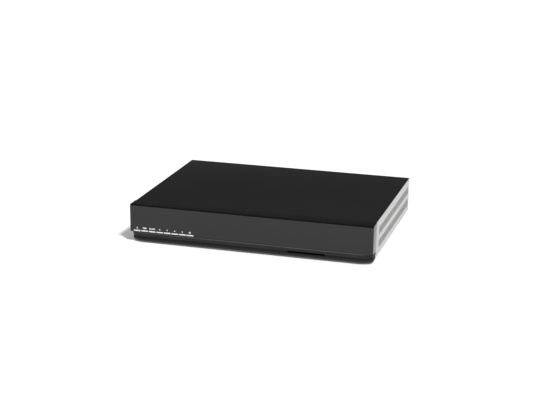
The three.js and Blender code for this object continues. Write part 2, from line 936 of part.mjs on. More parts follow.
// Main board with its chips, capacitors and headers soldered on
const fanHeaderY = boardRear - tunerDepth - headerWidth;
const headers = {
  disk: [mainBoardLeft + headerWidth / 2 + boardScrewInset, mainBoardFront + 2 * headerWidth],
  front: [mainBoardLeft + headerWidth / 2 + 3 * boardScrewInset, mainBoardFront + headerDepth],
  power: [mainBoardLeft + headerDepth, fanHeaderY - headerWidth],
  fan: [mainBoardLeft + headerDepth, fanHeaderY],
};
function header([x, y], width, base) {
  return block(
    x - width / 2,
    x + width / 2,
    y - headerDepth / 2,
    y + headerDepth / 2,
    base,
    base + headerHeight,
  );
}
function mainBoard() {
  const chipHalf = chipSize / 2;
  const parts = [
    block(mainBoardLeft, mainBoardRight, mainBoardFront, boardRear, boardUnder, boardTop),
    block(
      chipCentreX - chipHalf,
      chipCentreX + chipHalf,
      chipCentreY - chipHalf,
      chipCentreY + chipHalf,
      boardTop,
      boardTop + chipThickness,
    ),
    header(headers.disk, headerWidth, boardTop),
    header(headers.front, headerWidth, boardTop),
    header(headers.power, headerDepth, boardTop),
    header(headers.fan, headerDepth, boardTop),
  ];
  const memoryLeft = chipCentreX + chipHalf + memorySize;
  for (let i = 0; i < memoryRows ** 2; i++) {
    const x = memoryLeft + Math.floor(i / memoryRows) * memoryPitch;
    const y = chipCentreY - memoryPitch + (i % memoryRows) * memoryPitch;
    parts.push(block(x, x + memorySize, y, y + memorySize, boardTop, boardTop + memoryThickness));
  }
  for (let i = 0; i < smallCapacitors; i++) {
    const x = mainBoardLeft + boardScrewInset + smallCapacitorPitch * (i + 2);
    const y = mainBoardFront + smallCapacitorPitch * 2;
    parts.push(
      rod("z", x, y, smallCapacitorRadius, boardTop, boardTop + smallCapacitorHeight, roundSteps),
    );
  }
  return cut(join(...parts), ...boardScrews.map(([x, y]) => hole("z", x, y, boardUnder, boardTop)));
}

// Finned heat sink resting on the processor
function processorHeatSink() {
  const half = heatSinkSize / 2;
  const base = boardTop + chipThickness + fit;
  const finPitch = (heatSinkSize - heatSinkFin) / (heatSinkFins - 1);
  const parts = [
    block(
      chipCentreX - half,
      chipCentreX + half,
      chipCentreY - half,
      chipCentreY + half,
      base,
      base + heatSinkBase,
    ),
  ];
  for (let i = 0; i < heatSinkFins; i++) {
    const x = chipCentreX - half + i * finPitch;
    const top = base + heatSinkBase + heatSinkFinHeight;
    parts.push(block(x, x + heatSinkFin, chipCentreY - half, chipCentreY + half, base, top));
  }
  return join(...parts);
}

// Tuner: a tinplate can with two threaded aerial connectors through the rear panel
function tunerModule() {
  const half = tunerWidth / 2;
  const canRear = panelInner - fit;
  let tuner = block(
    tunerCentre - half,
    tunerCentre + half,
    canRear - tunerDepth,
    canRear,
    seatOnBoard,
    seatOnBoard + tunerHeight,
  );
  const end = bodyDepth + aerialReach;
  const nutRear = bodyDepth + fit + aerialNutThickness;
  for (const x of aerialX) {
    tuner = join(
      tuner,
      rod("y", x, aerialRise, aerialRadius, canRear - overrun, end, roundSteps),
      rod("y", x, aerialRise, aerialNutAcross, bodyDepth + fit, nutRear, aerialNutSides),
    );
    tuner = tuner.subtract(rod("y", x, aerialRise, aerialPinBore, bodyDepth, end + overrun, leadSides));
  }
  return tuner;
}

// A moulded or folded socket body standing on a board, hollowed from its mouth
function socket(centre, width, base, height, depth, mouth, shell = socketShell) {
  const half = width / 2;
  const rear = mouth + socketProud;
  return cut(
    block(centre - half, centre + half, mouth - depth, rear, base, base + height),
    block(
      centre - half + shell,
      centre + half - shell,
      mouth - depth + 2 * shell,
      rear + overrun,
      base + shell,
      base + height - shell,
    ),
  );
}
function usbSocket() {
  const half = usbWidth / 2 - 2 * socketShell;
  const middle = seatOnBoard + usbHeight / 2;
  return join(
    socket(usbCentre, usbWidth, seatOnBoard, usbHeight, socketDepth, bodyDepth),
    block(
      usbCentre - half,
      usbCentre + half,
      bodyDepth - socketDepth + socketShell,
      bodyDepth - socketShell,
      middle,
      middle + usbTongue,
    ),
  );
}

// Scart socket: its well is a slanted trapezium, wider at the top
function scartSocket(base) {
  const half = scartWidth / 2;
  const wellHalf = half - scartSlant;
  const low = base + scartSlant / 2;
  const high = base + scartHeight - scartSlant / 2;
  const well = polygon([
    [scartCentre - wellHalf, low],
    [scartCentre + wellHalf - scartSlant, low],
    [scartCentre + wellHalf, high],
    [scartCentre - wellHalf, high],
  ]);
  return cut(
    block(
      scartCentre - half,
      scartCentre + half,
      bodyDepth - scartDepth,
      socketMouth,
      base,
      base + scartHeight,
    ),
    prism(well, "y", bodyDepth - scartDepth + 2 * socketShell, socketMouth + overrun),
  );
}

// Phono sockets: a block with three barrels through the rear panel
function phonoSockets() {
  const half = phonoWidth / 2;
  const rear = panelInner - fit;
  let sockets = block(
    phonoCentre - half,
    phonoCentre + half,
    rear - socketDepth,
    rear,
    seatOnBoard,
    seatOnBoard + phonoCount * phonoPitch,
  );
  const end = bodyDepth + phonoReach;
  for (const z of phonoRise) {
    sockets = sockets.add(rod("y", phonoCentre, z, phonoRadius, rear - overrun, end, roundSteps));
    sockets = sockets.subtract(
      rod("y", phonoCentre, z, phonoBore, rear - overrun, end + overrun, leadSides),
    );
  }
  return sockets;
}

// Power board with its fuse and header soldered on
const powerHeader = [powerBoardRight - headerDepth, powerBoardFront + headerDepth / 2];
const fuseX = powerBoardLeft + boardScrewInset;
function powerBoard() {
  const fuseY = boardRear - inletDepth - fuseRadius;
  const parts = [
    block(powerBoardLeft, powerBoardRight, powerBoardFront, boardRear, boardUnder, boardTop),
    header(powerHeader, headerDepth, boardTop),
    block(
      fuseX - fuseRadius,
      fuseX + fuseRadius,
      fuseY - fuseLength,
      fuseY,
      boardTop,
      boardTop + 2 * fuseRadius,
    ),
  ];
  return join(...parts);
}

// Mains inlet: a moulded well with two pins, for a figure-of-eight plug
const inletPinZ = seatOnBoard + inletHeight / 2;
function mainsInlet() {
  const half = inletWidth / 2;
  const wellFloor = socketMouth - inletWellDepth;
  let inlet = cut(
    block(
      inletCentre - half,
      inletCentre + half,
      bodyDepth - inletDepth,
      socketMouth,
      seatOnBoard,
      seatOnBoard + inletHeight,
    ),
    block(
      inletCentre - half + inletWall,
      inletCentre + half - inletWall,
      wellFloor,
      socketMouth + overrun,
      seatOnBoard + inletWall,
      seatOnBoard + inletHeight - inletWall,
    ),
  );
  for (const side of [-1, 1]) {
    const x = inletCentre + (side * inletPinPitch) / 2;
    inlet = inlet.add(
      rod("y", x, inletPinZ, inletPinRadius, wellFloor - overrun, wellFloor + inletPinLength, leadSides),
    );
  }
  return inlet;
}

// Transformer: a ferrite core round a taped bobbin, as one potted piece
function powerTransformer() {
  const half = transformerSize / 2;
  const x = powerBoardRight - transformerInset;
  const y = transformerY;
  const winding = half - bobbinFlange;
  const core = transformerCore;
  const top = seatOnBoard + transformerHeight;
  return join(
    block(x - half, x + half, y - winding, y + winding, seatOnBoard, seatOnBoard + 2 * bobbinFlange),
    block(x - winding, x + winding, y - winding, y + winding, seatOnBoard, top - 2 * bobbinFlange),
    block(x - half, x + half, y - winding, y + winding, top - 3 * bobbinFlange, top - 2 * bobbinFlange),
    block(x - half, x + half, y - core, y + core, seatOnBoard, top),
  );
}

// Reservoir capacitor standing on the power board, with its crimped bead
function reservoirCapacitor() {
  const bead = reservoirRadius - reservoirBead;
  return turned(
    [
      [0, 0],
      [reservoirRadius, 0],
      [reservoirRadius, 2 * reservoirBead],
      [bead, 3 * reservoirBead],
      [reservoirRadius, 4 * reservoirBead],
      [reservoirRadius, reservoirHeight - reservoirBead],
      [bead, reservoirHeight],
      [0, reservoirHeight],
    ],
    fineSteps,
  );
}

// Folded plate heat sink beside the transformer
function powerHeatSink() {
  const x = powerBoardRight - plateSinkInset;
  const half = plateSinkWidth / 2;
  const front = powerBoardFront + plateSinkSetback;
  const rear = front + plateSinkThickness;
  const foot = seatOnBoard + plateSinkThickness;
  const top = seatOnBoard + plateSinkHeight;
  return join(
    block(x - half, x + half, front, rear, seatOnBoard, top),
    block(x - half, x + half, rear - plateSinkFoot, rear, top - plateSinkThickness, top),
    block(x - half / 2, x + half / 2, front, rear + plateSinkThickness, seatOnBoard, foot),
  );
}

// Rocker switch: a frame clipped in the rear panel, and the rocker on its pivot
const rockerPivotY = bodyDepth - rockerPivotRadius;
const rockerWellHalf = rockerNeckWidth / 2 - rockerFrameWall;
const pinHoleReach = rockerWellHalf + rockerPivotRadius;
function rockerHousing() {
  const half = rockerFrameWidth / 2;
  const rise = rockerFrameHeight / 2;
  const neck = rockerNeckWidth / 2;
  const neckRise = rockerNeckHeight / 2;
  const wellRise = neckRise - rockerFrameWall;
  const front = bodyDepth - rockerBodyDepth;
  const rear = bodyDepth + fit + rockerFlange;
  return cut(
    join(
      block(
        rockerCentreX - neck,
        rockerCentreX + neck,
        front,
        rear,
        rockerCentreZ - neckRise,
        rockerCentreZ + neckRise,
      ),
      block(
        rockerCentreX - half,
        rockerCentreX + half,
        bodyDepth + fit,
        rear,
        rockerCentreZ - rise,
        rockerCentreZ + rise,
      ),
    ),
    block(
      rockerCentreX - rockerWellHalf,
      rockerCentreX + rockerWellHalf,
      front + rockerFrameWall,
      rear + overrun,
      rockerCentreZ - wellRise,
      rockerCentreZ + wellRise,
    ),
    rod(
      "x",
      rockerPivotY,
      rockerCentreZ,
      rockerPivotRadius + fit,
      rockerCentreX - pinHoleReach,
      rockerCentreX + pinHoleReach,
      leadSides,
    ),
  );
}
function powerRocker() {
  const rise = rockerNeckHeight / 2 - rockerFrameWall - 4 * fit;
  const faceRear = rockerFlange + rockerFaceReach;
  const profile = [
    [-2 * rockerPivotRadius, 0],
    [0, -rise],
    [faceRear, -rise],
    [rockerFlange, 0],
    [faceRear, rise],
    [0, rise],
  ].map(([y, z]) => [
    rockerPivotY + y * Math.cos(rockerTilt) - z * Math.sin(rockerTilt),
    rockerCentreZ + y * Math.sin(rockerTilt) + z * Math.cos(rockerTilt),
  ]);
  const half = rockerWellHalf - 2 * fit;
  const pinReach = pinHoleReach - fit;
  return join(
    prism(polygon(profile.reverse()), "x", rockerCentreX - half, rockerCentreX + half),
    rod(
      "x",
      rockerPivotY,
      rockerCentreZ,
      rockerPivotRadius,
      rockerCentreX - pinReach,
      rockerCentreX + pinReach,
      leadSides,
    ),
  );
}

// Hard disk: a slim cast case with a raised lid and its plug, screwed down on a folded bracket
const bracketTop = trayFloor + diskRise;
const diskBase = bracketTop + fit;
function hardDisk() {
  const right = diskLeft + diskWidth;
  const rear = diskFront + diskLength;
  const top = diskBase + diskHeight;
  const plugLeft = diskLeft + diskWidth / 2 - diskPlugWidth / 2;
  const margin = diskScrewInsetX;
  return cut(
    join(
      block(diskLeft, right, diskFront, rear, diskBase, top - diskLidStep),
      block(diskLeft + margin, right - margin, diskFront + margin, rear - margin, diskBase, top),
      block(
        plugLeft,
        plugLeft + diskPlugWidth,
        rear - overrun,
        rear + diskPlugDepth,
        diskBase,
        diskBase + diskPlugHeight,
      ),
    ),
    ...diskScrews.map(
      ([x, y]) => rod(
        "z",
        x,
        y,
        screwRadius + fit,
        diskBase - overrun,
        diskBase + diskHoleDepth,
        leadSides,
      ),
    ),
  );
}
function diskBracket() {
  const left = diskLeft - bracketMargin / 2;
  const right = diskLeft + diskWidth + bracketMargin / 2;
  const front = diskFront + bracketMargin;
  const rear = diskFront + diskLength - bracketMargin;
  const low = trayFloor + fit;
  const middleX = (left + right) / 2;
  const middleY = (front + rear) / 2;
  const holeHalfX = (bracketHoleShare * (right - left)) / 2;
  const holeHalfY = (bracketHoleShare * (rear - front)) / 2;
  return cut(
    join(
      block(left, right, front, rear, bracketTop - bracketThickness, bracketTop),
      block(left, left + bracketThickness, front, rear, low, bracketTop),
      block(right - bracketThickness, right, front, rear, low, bracketTop),
      block(right - bracketThickness, right + bracketFoot, front, rear, low, low + bracketThickness),
    ),
    block(
      middleX - holeHalfX,
      middleX + holeHalfX,
      middleY - holeHalfY,
      middleY + holeHalfY,
      bracketTop - bracketThickness - overrun,
      bracketTop + overrun,
    ),
    ...diskScrews.map(([x, y]) => hole("z", x, y, bracketTop - bracketThickness, bracketTop)),
  );
}

// Fan: a square frame with three struts to its motor mount, and the bladed rotor
const fanRear = panelInner - fit;
const fanFront = fanRear - fanDepth;
function fanFrame() {
  const half = fanSize / 2;
  const mountFront = fanRear - fanMount;
  const ring = cut(
    block(fanCentreX - half, fanCentreX + half, fanFront, fanRear, fanCentreZ - half, fanCentreZ + half),
    hole("y", fanCentreX, fanCentreZ, fanFront, fanRear, fanBoreRadius, fineSteps),
    ...fanScrews.map(([x, z]) => hole("y", x, z, fanFront, fanRear)),
  );
  const struts = block(-fanStrut / 2, fanStrut / 2, mountFront, fanRear, 0, fanBoreRadius + fanStrut / 2);
  let frame = join(ring, rod("y", fanCentreX, fanCentreZ, fanHubRadius, mountFront, fanRear, roundSteps));
  for (let i = 0; i < fanStruts; i++) {
    frame = frame.add(struts.rotate([0, (360 * i) / fanStruts, 0]).translate([fanCentreX, 0, fanCentreZ]));
  }
  return frame;
}
function fanRotor() {
  const front = fanFront + fit;
  const rear = fanRear - fanMount - leadGap;
  const middle = (front + rear) / 2;
  const bladeDepth = rear - front - fanBladeRoom - fanBladeThickness * Math.sin(fanBladePitch);
  const blade = new THREE.BoxGeometry(
    fanBladeRadius - fanHubRadius + fanBladeThickness,
    bladeDepth / Math.cos(fanBladePitch),
    fanBladeThickness,
  );
  blade.rotateX(fanBladePitch);
  blade.translate((fanBladeRadius + fanHubRadius - fanBladeThickness) / 2, middle, 0);
  const bladeSolid = solidOf(blade);
  let rotor = rod("y", 0, 0, fanHubRadius, front, rear, roundSteps);
  for (let i = 0; i < fanBlades; i++) {
    rotor = rotor.add(bladeSolid.rotate([0, (360 * i) / fanBlades, 0]));
  }
  return rotor.translate([fanCentreX, 0, fanCentreZ]);
}

// Smart-card reader on the tray's floor, its slot in line with the slot of the plinth
function smartCardReader() {
  const half = readerWidth / 2;
  const slotHalf = cardSlotWidth / 2;
  const front = plinthSetback + plinthUndercut + plinthWall + fit;
  return cut(
    block(
      cardSlotCentre - half,
      cardSlotCentre + half,
      front,
      front + readerLength,
      readerBase,
      readerBase + readerHeight,
    ),
    block(
      cardSlotCentre - slotHalf,
      cardSlotCentre + slotHalf,
      front - overrun,
      front + readerLength - readerHeight,
      cardSlotRise - cardSlotHeight / 2,
      cardSlotRise + cardSlotHeight / 2,
    ),
  );
}

// A lead of round section along a smooth route
function lead(points, radius) {
  const route = new THREE.CatmullRomCurve3(points.map((point) => new THREE.Vector3(...point)));
  const section = disc(0, 0, radius, leadSides);
  return solidOf(
    new THREE.ExtrudeGeometry(section, { steps: leadSteps, extrudePath: route, bevelEnabled: false }),
  );
}
const headerTop = boardTop + headerHeight + leadGap;
const leadTop = headerTop + leadRise;
function diskLead() {
  const [x, y] = headers.disk;
  const startX = diskLeft + diskWidth / 2;
  const startY = diskFront + diskLength + diskPlugDepth + leadGap;
  const startZ = diskBase + diskPlugHeight / 2;
  const channelX = (diskLeft + diskWidth + mainBoardLeft) / 2;
  return lead(
    [
      [startX, startY, startZ],
      [startX, startY + leadRadius, startZ],
      [startX + headerDepth, startY + headerDepth, startZ],
      [channelX - headerDepth, startY + headerDepth, startZ],
      [channelX, startY, startZ],
      [channelX, y + headerWidth, startZ + leadRadius],
      [(channelX + x) / 2, y, leadTop],
      [x, y, leadTop],
      [x, y, headerTop],
    ],
    leadRadius,
  );
}
function frontLead() {
  const [x, y] = headers.front;
  const startY = frontBoardSetback + boardThickness + headerDepth + leadGap;
  return lead(
    [
      [frontHeaderX, startY, displayRise],
      [frontHeaderX, startY + headerWidth, displayRise],
      [(frontHeaderX + x) / 2, (startY + y) / 2, displayRise],
      [x, y - headerDepth, displayRise],
      [x, y, displayRise - headerDepth],
      [x, y, headerTop],
    ],
    leadRadius,
  );
}
function powerHarness() {
  const [fromX, fromY] = powerHeader;
  const [toX, toY] = headers.power;
  return lead(
    [
      [fromX, fromY, headerTop],
      [fromX, fromY, headerTop + headerDepth],
      [(3 * fromX + toX) / 4, (fromY + toY) / 2, leadTop],
      [(fromX + 3 * toX) / 4, (fromY + toY) / 2, leadTop],
      [toX, toY, headerTop + headerDepth],
      [toX, toY, headerTop],
    ],
    leadRadius,
  );
}
function fanLead() {
  const [x, y] = headers.fan;
  const startX = fanCentreX + fanScrewReach;
  const startZ = fanCentreZ + fanScrewReach;
  return lead(
    [
      [startX, fanFront - leadGap, startZ],
      [startX, fanFront - headerDepth, startZ],
      [(startX + x) / 2, fanFront - headerWidth, startZ],
      [x, y + headerWidth, leadTop + headerDepth],
      [x, y, leadTop - headerDepth],
      [x, y, headerTop],
    ],
    thinLeadRadius,
  );
}

// The assembly
piece("chassis_tray", chassisTray(), silverSteel);
piece("rear_panel", rearPanel(), silverSteel);
piece("top_cover", topCover(), lidBlack);
piece("fascia", fascia(), glossBlack);
piece("plinth", plinth(), mattBlack);
for (const [name, [x, y]] of Object.entries(feet)) piece(name, foot(), rubber, x, y);
buttonNames.forEach((name, i) => piece("button_" + name, button(0), buttonWhite, buttonLeft(i)));
piece("front_board", frontBoard(), boardGreen);
piece("status_display", statusDisplay(), socketBlack);
piece("infrared_receiver", infraredReceiver(), socketBlack);
piece("smart_card_reader", smartCardReader(), socketBlack);
piece("main_board", mainBoard(), boardGreen);
piece("processor_heat_sink", processorHeatSink(), aluminium);
piece("tuner_module", tunerModule(), tinplate);
piece(
  "optical_socket",
  socket(opticalCentre, opticalSize, seatOnBoard, opticalSize, socketDepth, bodyDepth),
  socketBlack,
);
piece("phono_sockets", phonoSockets(), socketBlack);
piece(
  "hdmi_socket",
  socket(hdmiCentre, hdmiWidth, seatOnBoard, hdmiHeight, socketDepth, bodyDepth),
  tinplate,
);
piece("usb_socket", usbSocket(), tinplate);
piece(
  "ethernet_socket",
  socket(
    ethernetCentre,
    ethernetWidth,
    seatOnBoard,
    ethernetHeight,
    ethernetDepth,
    bodyDepth,
  ),
  tinplate,
);
piece("scart_socket_lower", scartSocket(seatOnBoard), socketBlack);
piece("scart_socket_upper", scartSocket(upperScartBase), socketBlack);
piece("power_board", powerBoard(), boardTan);
piece("power_transformer", powerTransformer(), copperTape);
piece(
  "reservoir_capacitor",
  reservoirCapacitor(),
  sleeveBlue,
  reservoirX,
  reservoirY,
  seatOnBoard,
);
piece("power_heat_sink", powerHeatSink(), aluminium);
piece("mains_inlet", mainsInlet(), socketBlack);
piece("rocker_housing", rockerHousing(), socketBlack);
piece("power_rocker", powerRocker(), socketBlack);
piece("disk_bracket", diskBracket(), tinplate);
piece("hard_disk", hardDisk(), aluminium);
piece("fan_frame", fanFrame(), socketBlack);
piece("fan_rotor", fanRotor(), socketBlack);
piece("disk_lead", diskLead(), leadGrey);
piece("front_lead", frontLead(), leadGrey);
piece("power_harness", powerHarness(), leadGrey);
piece("fan_lead", fanLead(), leadGrey);

boardScrews.forEach(
  ([x, y], i) => piece("board_screw_" + (i + 1), screw(screwLength), tinplate, x, y, seatOnBoard),
);
const fromBelow = screw(screwLength).rotate([180, 0, 0]);
const bracketUnder = bracketTop - bracketThickness - fit;
diskScrews.forEach(
  ([x, y], i) => piece("disk_screw_" + (i + 1), fromBelow, tinplate, x, y, bracketUnder),
);
const fromBehind = screw(screwLength).rotate([-90, 0, 0]);
const coverScrewSeat = bodyDepth + sheet + 2 * fit;
["left", "centre", "right"].forEach((side, i) =>
  piece("cover_screw_" + side, fromBehind, lidBlack, coverScrewX[i], coverScrewSeat, coverScrewZ),
);
fanScrews.forEach(
  ([x, z], i) => piece("fan_screw_" + (i + 1), fromBehind, tinplate, x, bodyDepth + fit, z),
);

// The origin is on the floor, below the middle of the space that the receiver fills
const foremost = -buttonProud;
const rearmost = bodyDepth + aerialReach;
receiver.position.y = -(foremost + rearmost) / 2;

export default receiver;
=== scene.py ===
# A slim satellite receiver: a folded steel case with a black lid, a gloss fascia with bar buttons on a
# dark plinth, and the boards, disk, fan and sockets that it holds. Metres, with +Z up.
import math

import bmesh
import bpy
from mathutils import Matrix, Vector


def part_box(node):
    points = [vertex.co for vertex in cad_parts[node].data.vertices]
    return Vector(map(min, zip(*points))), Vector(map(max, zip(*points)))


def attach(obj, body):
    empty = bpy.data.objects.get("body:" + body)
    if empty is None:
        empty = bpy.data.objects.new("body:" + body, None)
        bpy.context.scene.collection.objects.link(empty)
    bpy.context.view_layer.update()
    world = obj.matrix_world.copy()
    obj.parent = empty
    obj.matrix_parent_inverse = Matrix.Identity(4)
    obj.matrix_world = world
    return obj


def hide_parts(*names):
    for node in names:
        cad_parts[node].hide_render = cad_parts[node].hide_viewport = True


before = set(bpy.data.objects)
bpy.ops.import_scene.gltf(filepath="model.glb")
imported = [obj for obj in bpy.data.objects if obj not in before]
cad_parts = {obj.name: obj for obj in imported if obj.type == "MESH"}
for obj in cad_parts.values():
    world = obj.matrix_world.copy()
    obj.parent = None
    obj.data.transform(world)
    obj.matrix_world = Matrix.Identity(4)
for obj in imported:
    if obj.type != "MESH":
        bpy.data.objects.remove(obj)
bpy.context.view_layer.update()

# Camera: it stands about two metres off at the front right and looks down on the receiver.
# A long lens without shift, turned by the small roll of the photograph.
photo_width = 537
focal_length_in_pixels = 1325.07
sensor_width = 36
camera_place = Vector((0.5581, -1.93965, 0.6425))
camera_back = Vector((0.2698, -0.9187, 0.2885)).normalized()
camera_roll = math.radians(0.427)
level = Vector((-camera_back.y, camera_back.x, 0)).normalized()
upward = camera_back.cross(level)
camera_right = level * math.cos(camera_roll) + upward * math.sin(camera_roll)
camera_up = upward * math.cos(camera_roll) - level * math.sin(camera_roll)
lens = bpy.data.cameras.new("camera")
lens.sensor_fit = "HORIZONTAL"
lens.sensor_width = sensor_width
lens.lens = sensor_width * focal_length_in_pixels / photo_width
lens.clip_start = 0.05
lens.clip_end = 60
camera = bpy.data.objects.new("camera", lens)
camera_turn = Matrix((camera_right, camera_up, camera_back)).transposed().to_4x4()
camera.matrix_world = Matrix.Translation(camera_place) @ camera_turn
bpy.context.scene.collection.objects.link(camera)
bpy.context.scene.camera = camera
bpy.context.scene.view_settings.view_transform = "Standard"

# Ground: a seamless white sweep. What looks straight at it, or sees it in a gloss surface, finds it a
# little lighter than the light on it makes it, so that it stays white beside the dark case.
ground_reach = 12
ground_white = 0.97
ground_lift = 0.1


def feed(tree, socket, value):
    """A socket gets a value, or is joined to the output that gives it."""
    if isinstance(value, bpy.types.NodeSocket):
        tree.links.new(value, socket)
    else:
        socket.default_value = value


def fed(tree, node, **inputs):
    """The inputs of a node get what feeds them. An underscore in a name stands for a blank."""
    for name, value in inputs.items():
        feed(tree, node.inputs[name.replace("_", " ")], value)
    return node


def added(tree, kind, settings=(), **inputs):
    """A new node of a kind. settings are pairs of a name and a value."""
    node = tree.nodes.new("ShaderNode" + kind)
    for name, value in settings:
        setattr(node, name, value)
    return fed(tree, node, **inputs)


def maths(tree, operation, first, second=0.0):
    """One step of arithmetic."""
    step = added(tree, "Math", [("operation", operation)])
    feed(tree, step.inputs[0], first)
    feed(tree, step.inputs[1], second)
    return step.outputs[0]


ground_mesh = bpy.data.meshes.new("ground")
corners = [(x * ground_reach, y * ground_reach, 0) for x, y in ((-1, -1), (1, -1), (1, 1), (-1, 1))]
ground_mesh.from_pydata(corners, [], [(0, 1, 2, 3)])
ground = bpy.data.objects.new("ground", ground_mesh)
bpy.context.scene.collection.objects.link(ground)
ground_paper = bpy.data.materials.new("ground paper")
ground_paper.use_nodes = True
tree = ground_paper.node_tree
sight = added(tree, "LightPath").outputs
seen = maths(tree, "MAXIMUM", sight["Is Camera Ray"], sight["Is Glossy Ray"])
seen = maths(tree, "MAXIMUM", seen, sight["Is Transmission Ray"])
fed(
    tree,
    tree.nodes["Principled BSDF"],
    Base_Color=(ground_white, ground_white, ground_white, 1),
    Roughness=1,
    Specular_IOR_Level=0,
    Emission_Color=(1, 1, 1, 1),
    Emission_Strength=maths(tree, "MULTIPLY", seen, ground_lift),
)
ground_mesh.materials.append(ground_paper)

# Studio: soft light from all round, a main lamp high at the front right that throws the shadow to the
# left, and a weak lamp behind. In gloss surfaces the room is white at its foot and dark above.
room_fill = 0.3
room_foot = 1.0
room_above = 0.07
foot_height_share = 0.03
dark_height_share = 0.12
lamps = (
    ("main_lamp", Vector((0.52, -0.46, 1)), 2.8, math.radians(8)),
    ("rear_lamp", Vector((-0.5, 1.2, 0.6)), 0.35, math.radians(40)),
)


def ranged(tree, value, low, high, start=0, end=1, kind="LINEAR"):
    """The value is drawn from the range between low and high to the one between start and end."""
    step = added(tree, "MapRange", [("interpolation_type", kind)], Value=value, From_Min=low, From_Max=high)
    return fed(tree, step, To_Min=start, To_Max=end).outputs["Result"]


def mixed(tree, share, off, on, kind="VALUE"):
    """From one value to the other by the share. The kind RGBA mixes colours."""
    step = added(tree, "Mix", [("data_type", "RGBA" if kind == "RGBA" else "FLOAT")], Factor=share)
    ends = [socket for socket in step.inputs if socket.type == kind and socket.name in ("A", "B")]
    feed(tree, ends[0], off)
    feed(tree, ends[1], on)
    return [socket for socket in step.outputs if socket.type == kind][0]


room = bpy.data.worlds.new("room")
room.use_nodes = True
bpy.context.scene.world = room
tree = room.node_tree
sight = added(tree, "LightPath").outputs
direction = added(tree, "TexCoord").outputs["Generated"]
height = added(tree, "SeparateXYZ", Vector=direction).outputs["Z"]
wall = ranged(tree, height, foot_height_share, dark_height_share, room_foot, room_above, "SMOOTHSTEP")
mirrored = maths(tree, "MAXIMUM", sight["Is Glossy Ray"], sight["Is Transmission Ray"])
strength = mixed(tree, sight["Is Camera Ray"], mixed(tree, mirrored, room_fill, wall), 1)
fed(tree, tree.nodes["Background"], Color=(1, 1, 1, 1), Strength=strength)
for name, lamp_from, lamp_strength, spread in lamps:
    light = bpy.data.lights.new(name, "SUN")
    light.energy = lamp_strength
    light.angle = spread
    lamp = bpy.data.objects.new(name, light)
    lamp.rotation_mode = "QUATERNION"
    lamp.rotation_quaternion = lamp_from.to_track_quat("Z", "Y")
    lamp.visible_glossy = name == "main_lamp"
    bpy.context.scene.collection.objects.link(lamp)

# Chassis tray: floor, front wall and two side walls folded from one steel sheet and sprayed silver.
# Two bands of upright slots are punched in each side, their walls in a near-black finish as painted shade,
# and turned posts stand on the floor.
mm = 0.001
gauge = 0.8 * mm
fit = 0.2 * mm
overrun = 1 * mm
bend_radius = 1.6 * mm
steps_in_a_bend = 6
sharp_from = math.radians(32)
slot_width = 2.5 * mm
slot_pitch = 5 * mm
slots_in_a_band = 46
first_slot_back = 21.8 * mm
slot_bands = ((14.4 * mm, 26.4 * mm), (34.4 * mm, 46.4 * mm))
tab_places = (-158 * mm, 0, 158 * mm)
tab_half = 6.2 * mm
tab_height = 2 * mm
tab_top = 57.7 * mm
lead_window = 8 * mm
post_radius = 3.5 * mm
post_top = 10.4 * mm
post_inset = 6 * mm
rear_flange = 10 * mm


def effect_group(name, takes, gives):
    """A node group with these sockets and their kinds, and the nodes at its start and end."""
    group = bpy.data.node_groups.new(name, "ShaderNodeTree")
    for way, sockets in (("INPUT", takes), ("OUTPUT", gives)):
        for socket, kind in sockets.items():
            group.interface.new_socket(socket, in_out=way, socket_type="NodeSocket" + kind)
    return group, group.nodes.new("NodeGroupInput").outputs, group.nodes.new("NodeGroupOutput")


def speckle(tree, place, count, detail):
    """Noise with so many spots in a metre along X, Y and Z."""
    stretched = added(tree, "VectorMath", [("operation", "MULTIPLY")])
    feed(tree, stretched.inputs[0], place)
    feed(tree, stretched.inputs[1], count)
    return added(tree, "TexNoise", Scale=1, Detail=detail, Vector=stretched.outputs[0]).outputs["Fac"]


# The effect of all finishes: the colour drifts in patches, roughness and relief follow a grain.
grain_effect, given, made = effect_group(
    "Grain and mottle",
    {
        "Base": "Color", "Shift": "Color", "Patches": "Vector", "Grain": "Vector", "Smooth": "Float",
        "Rough": "Float",
    },
    {"Colour": "Color", "Roughness": "Float", "Height": "Float"},
)
place = added(grain_effect, "TexCoord").outputs["Object"]
patches = speckle(grain_effect, place, given["Patches"], 3)
grain = speckle(grain_effect, place, given["Grain"], 2)
drift = ranged(grain_effect, patches, 0.35, 0.65)
fed(
    grain_effect,
    made,
    Colour=mixed(grain_effect, drift, given["Base"], given["Shift"], "RGBA"),
    Roughness=ranged(grain_effect, grain, 0.3, 0.7, given["Smooth"], given["Rough"]),
    Height=grain,
)


def finished(name, group, relief, takes, **shown):
    """A finish fed by an effect. takes goes into the effect, and relief is in millimetres. Each input of
    the shader in shown gets a value, or the effect's output of that name."""
    finish = bpy.data.materials.new(name)
    finish.use_nodes = True
    tree = finish.node_tree
    effect = fed(tree, added(tree, "Group", [("node_tree", group)]), **takes)
    bump = added(tree, "Bump", Distance=relief * mm, Height=effect.outputs["Height"])
    shader = fed(tree, tree.nodes["Principled BSDF"], Normal=bump.outputs["Normal"])
    for name, value in {"Base_Color": "Colour", **shown}.items():
        fed(tree, shader, **{name: effect.outputs[value] if isinstance(value, str) else value})
    return finish


def grained(name, base, shift, patches, grain, smooth, rough, relief, **plain):
    """A finish with the grain effect. patches and grain are counts in a metre, for all ways or for each."""
    patches, grain = [count if isinstance(count, tuple) else (count,) * 3 for count in (patches, grain)]
    takes = {"Base": (*base, 1), "Shift": (*shift, 1), "Patches": patches, "Grain": grain}
    takes.update(Smooth=smooth, Rough=rough)
    return finished(name, grain_effect, relief, takes, Roughness="Roughness", **plain)


def smoothed(mesh):
    """Smooth faces, with sharp edges where they turn far."""
    mesh.shade_smooth()
    mesh.set_sharp_from_angle(angle=sharp_from)


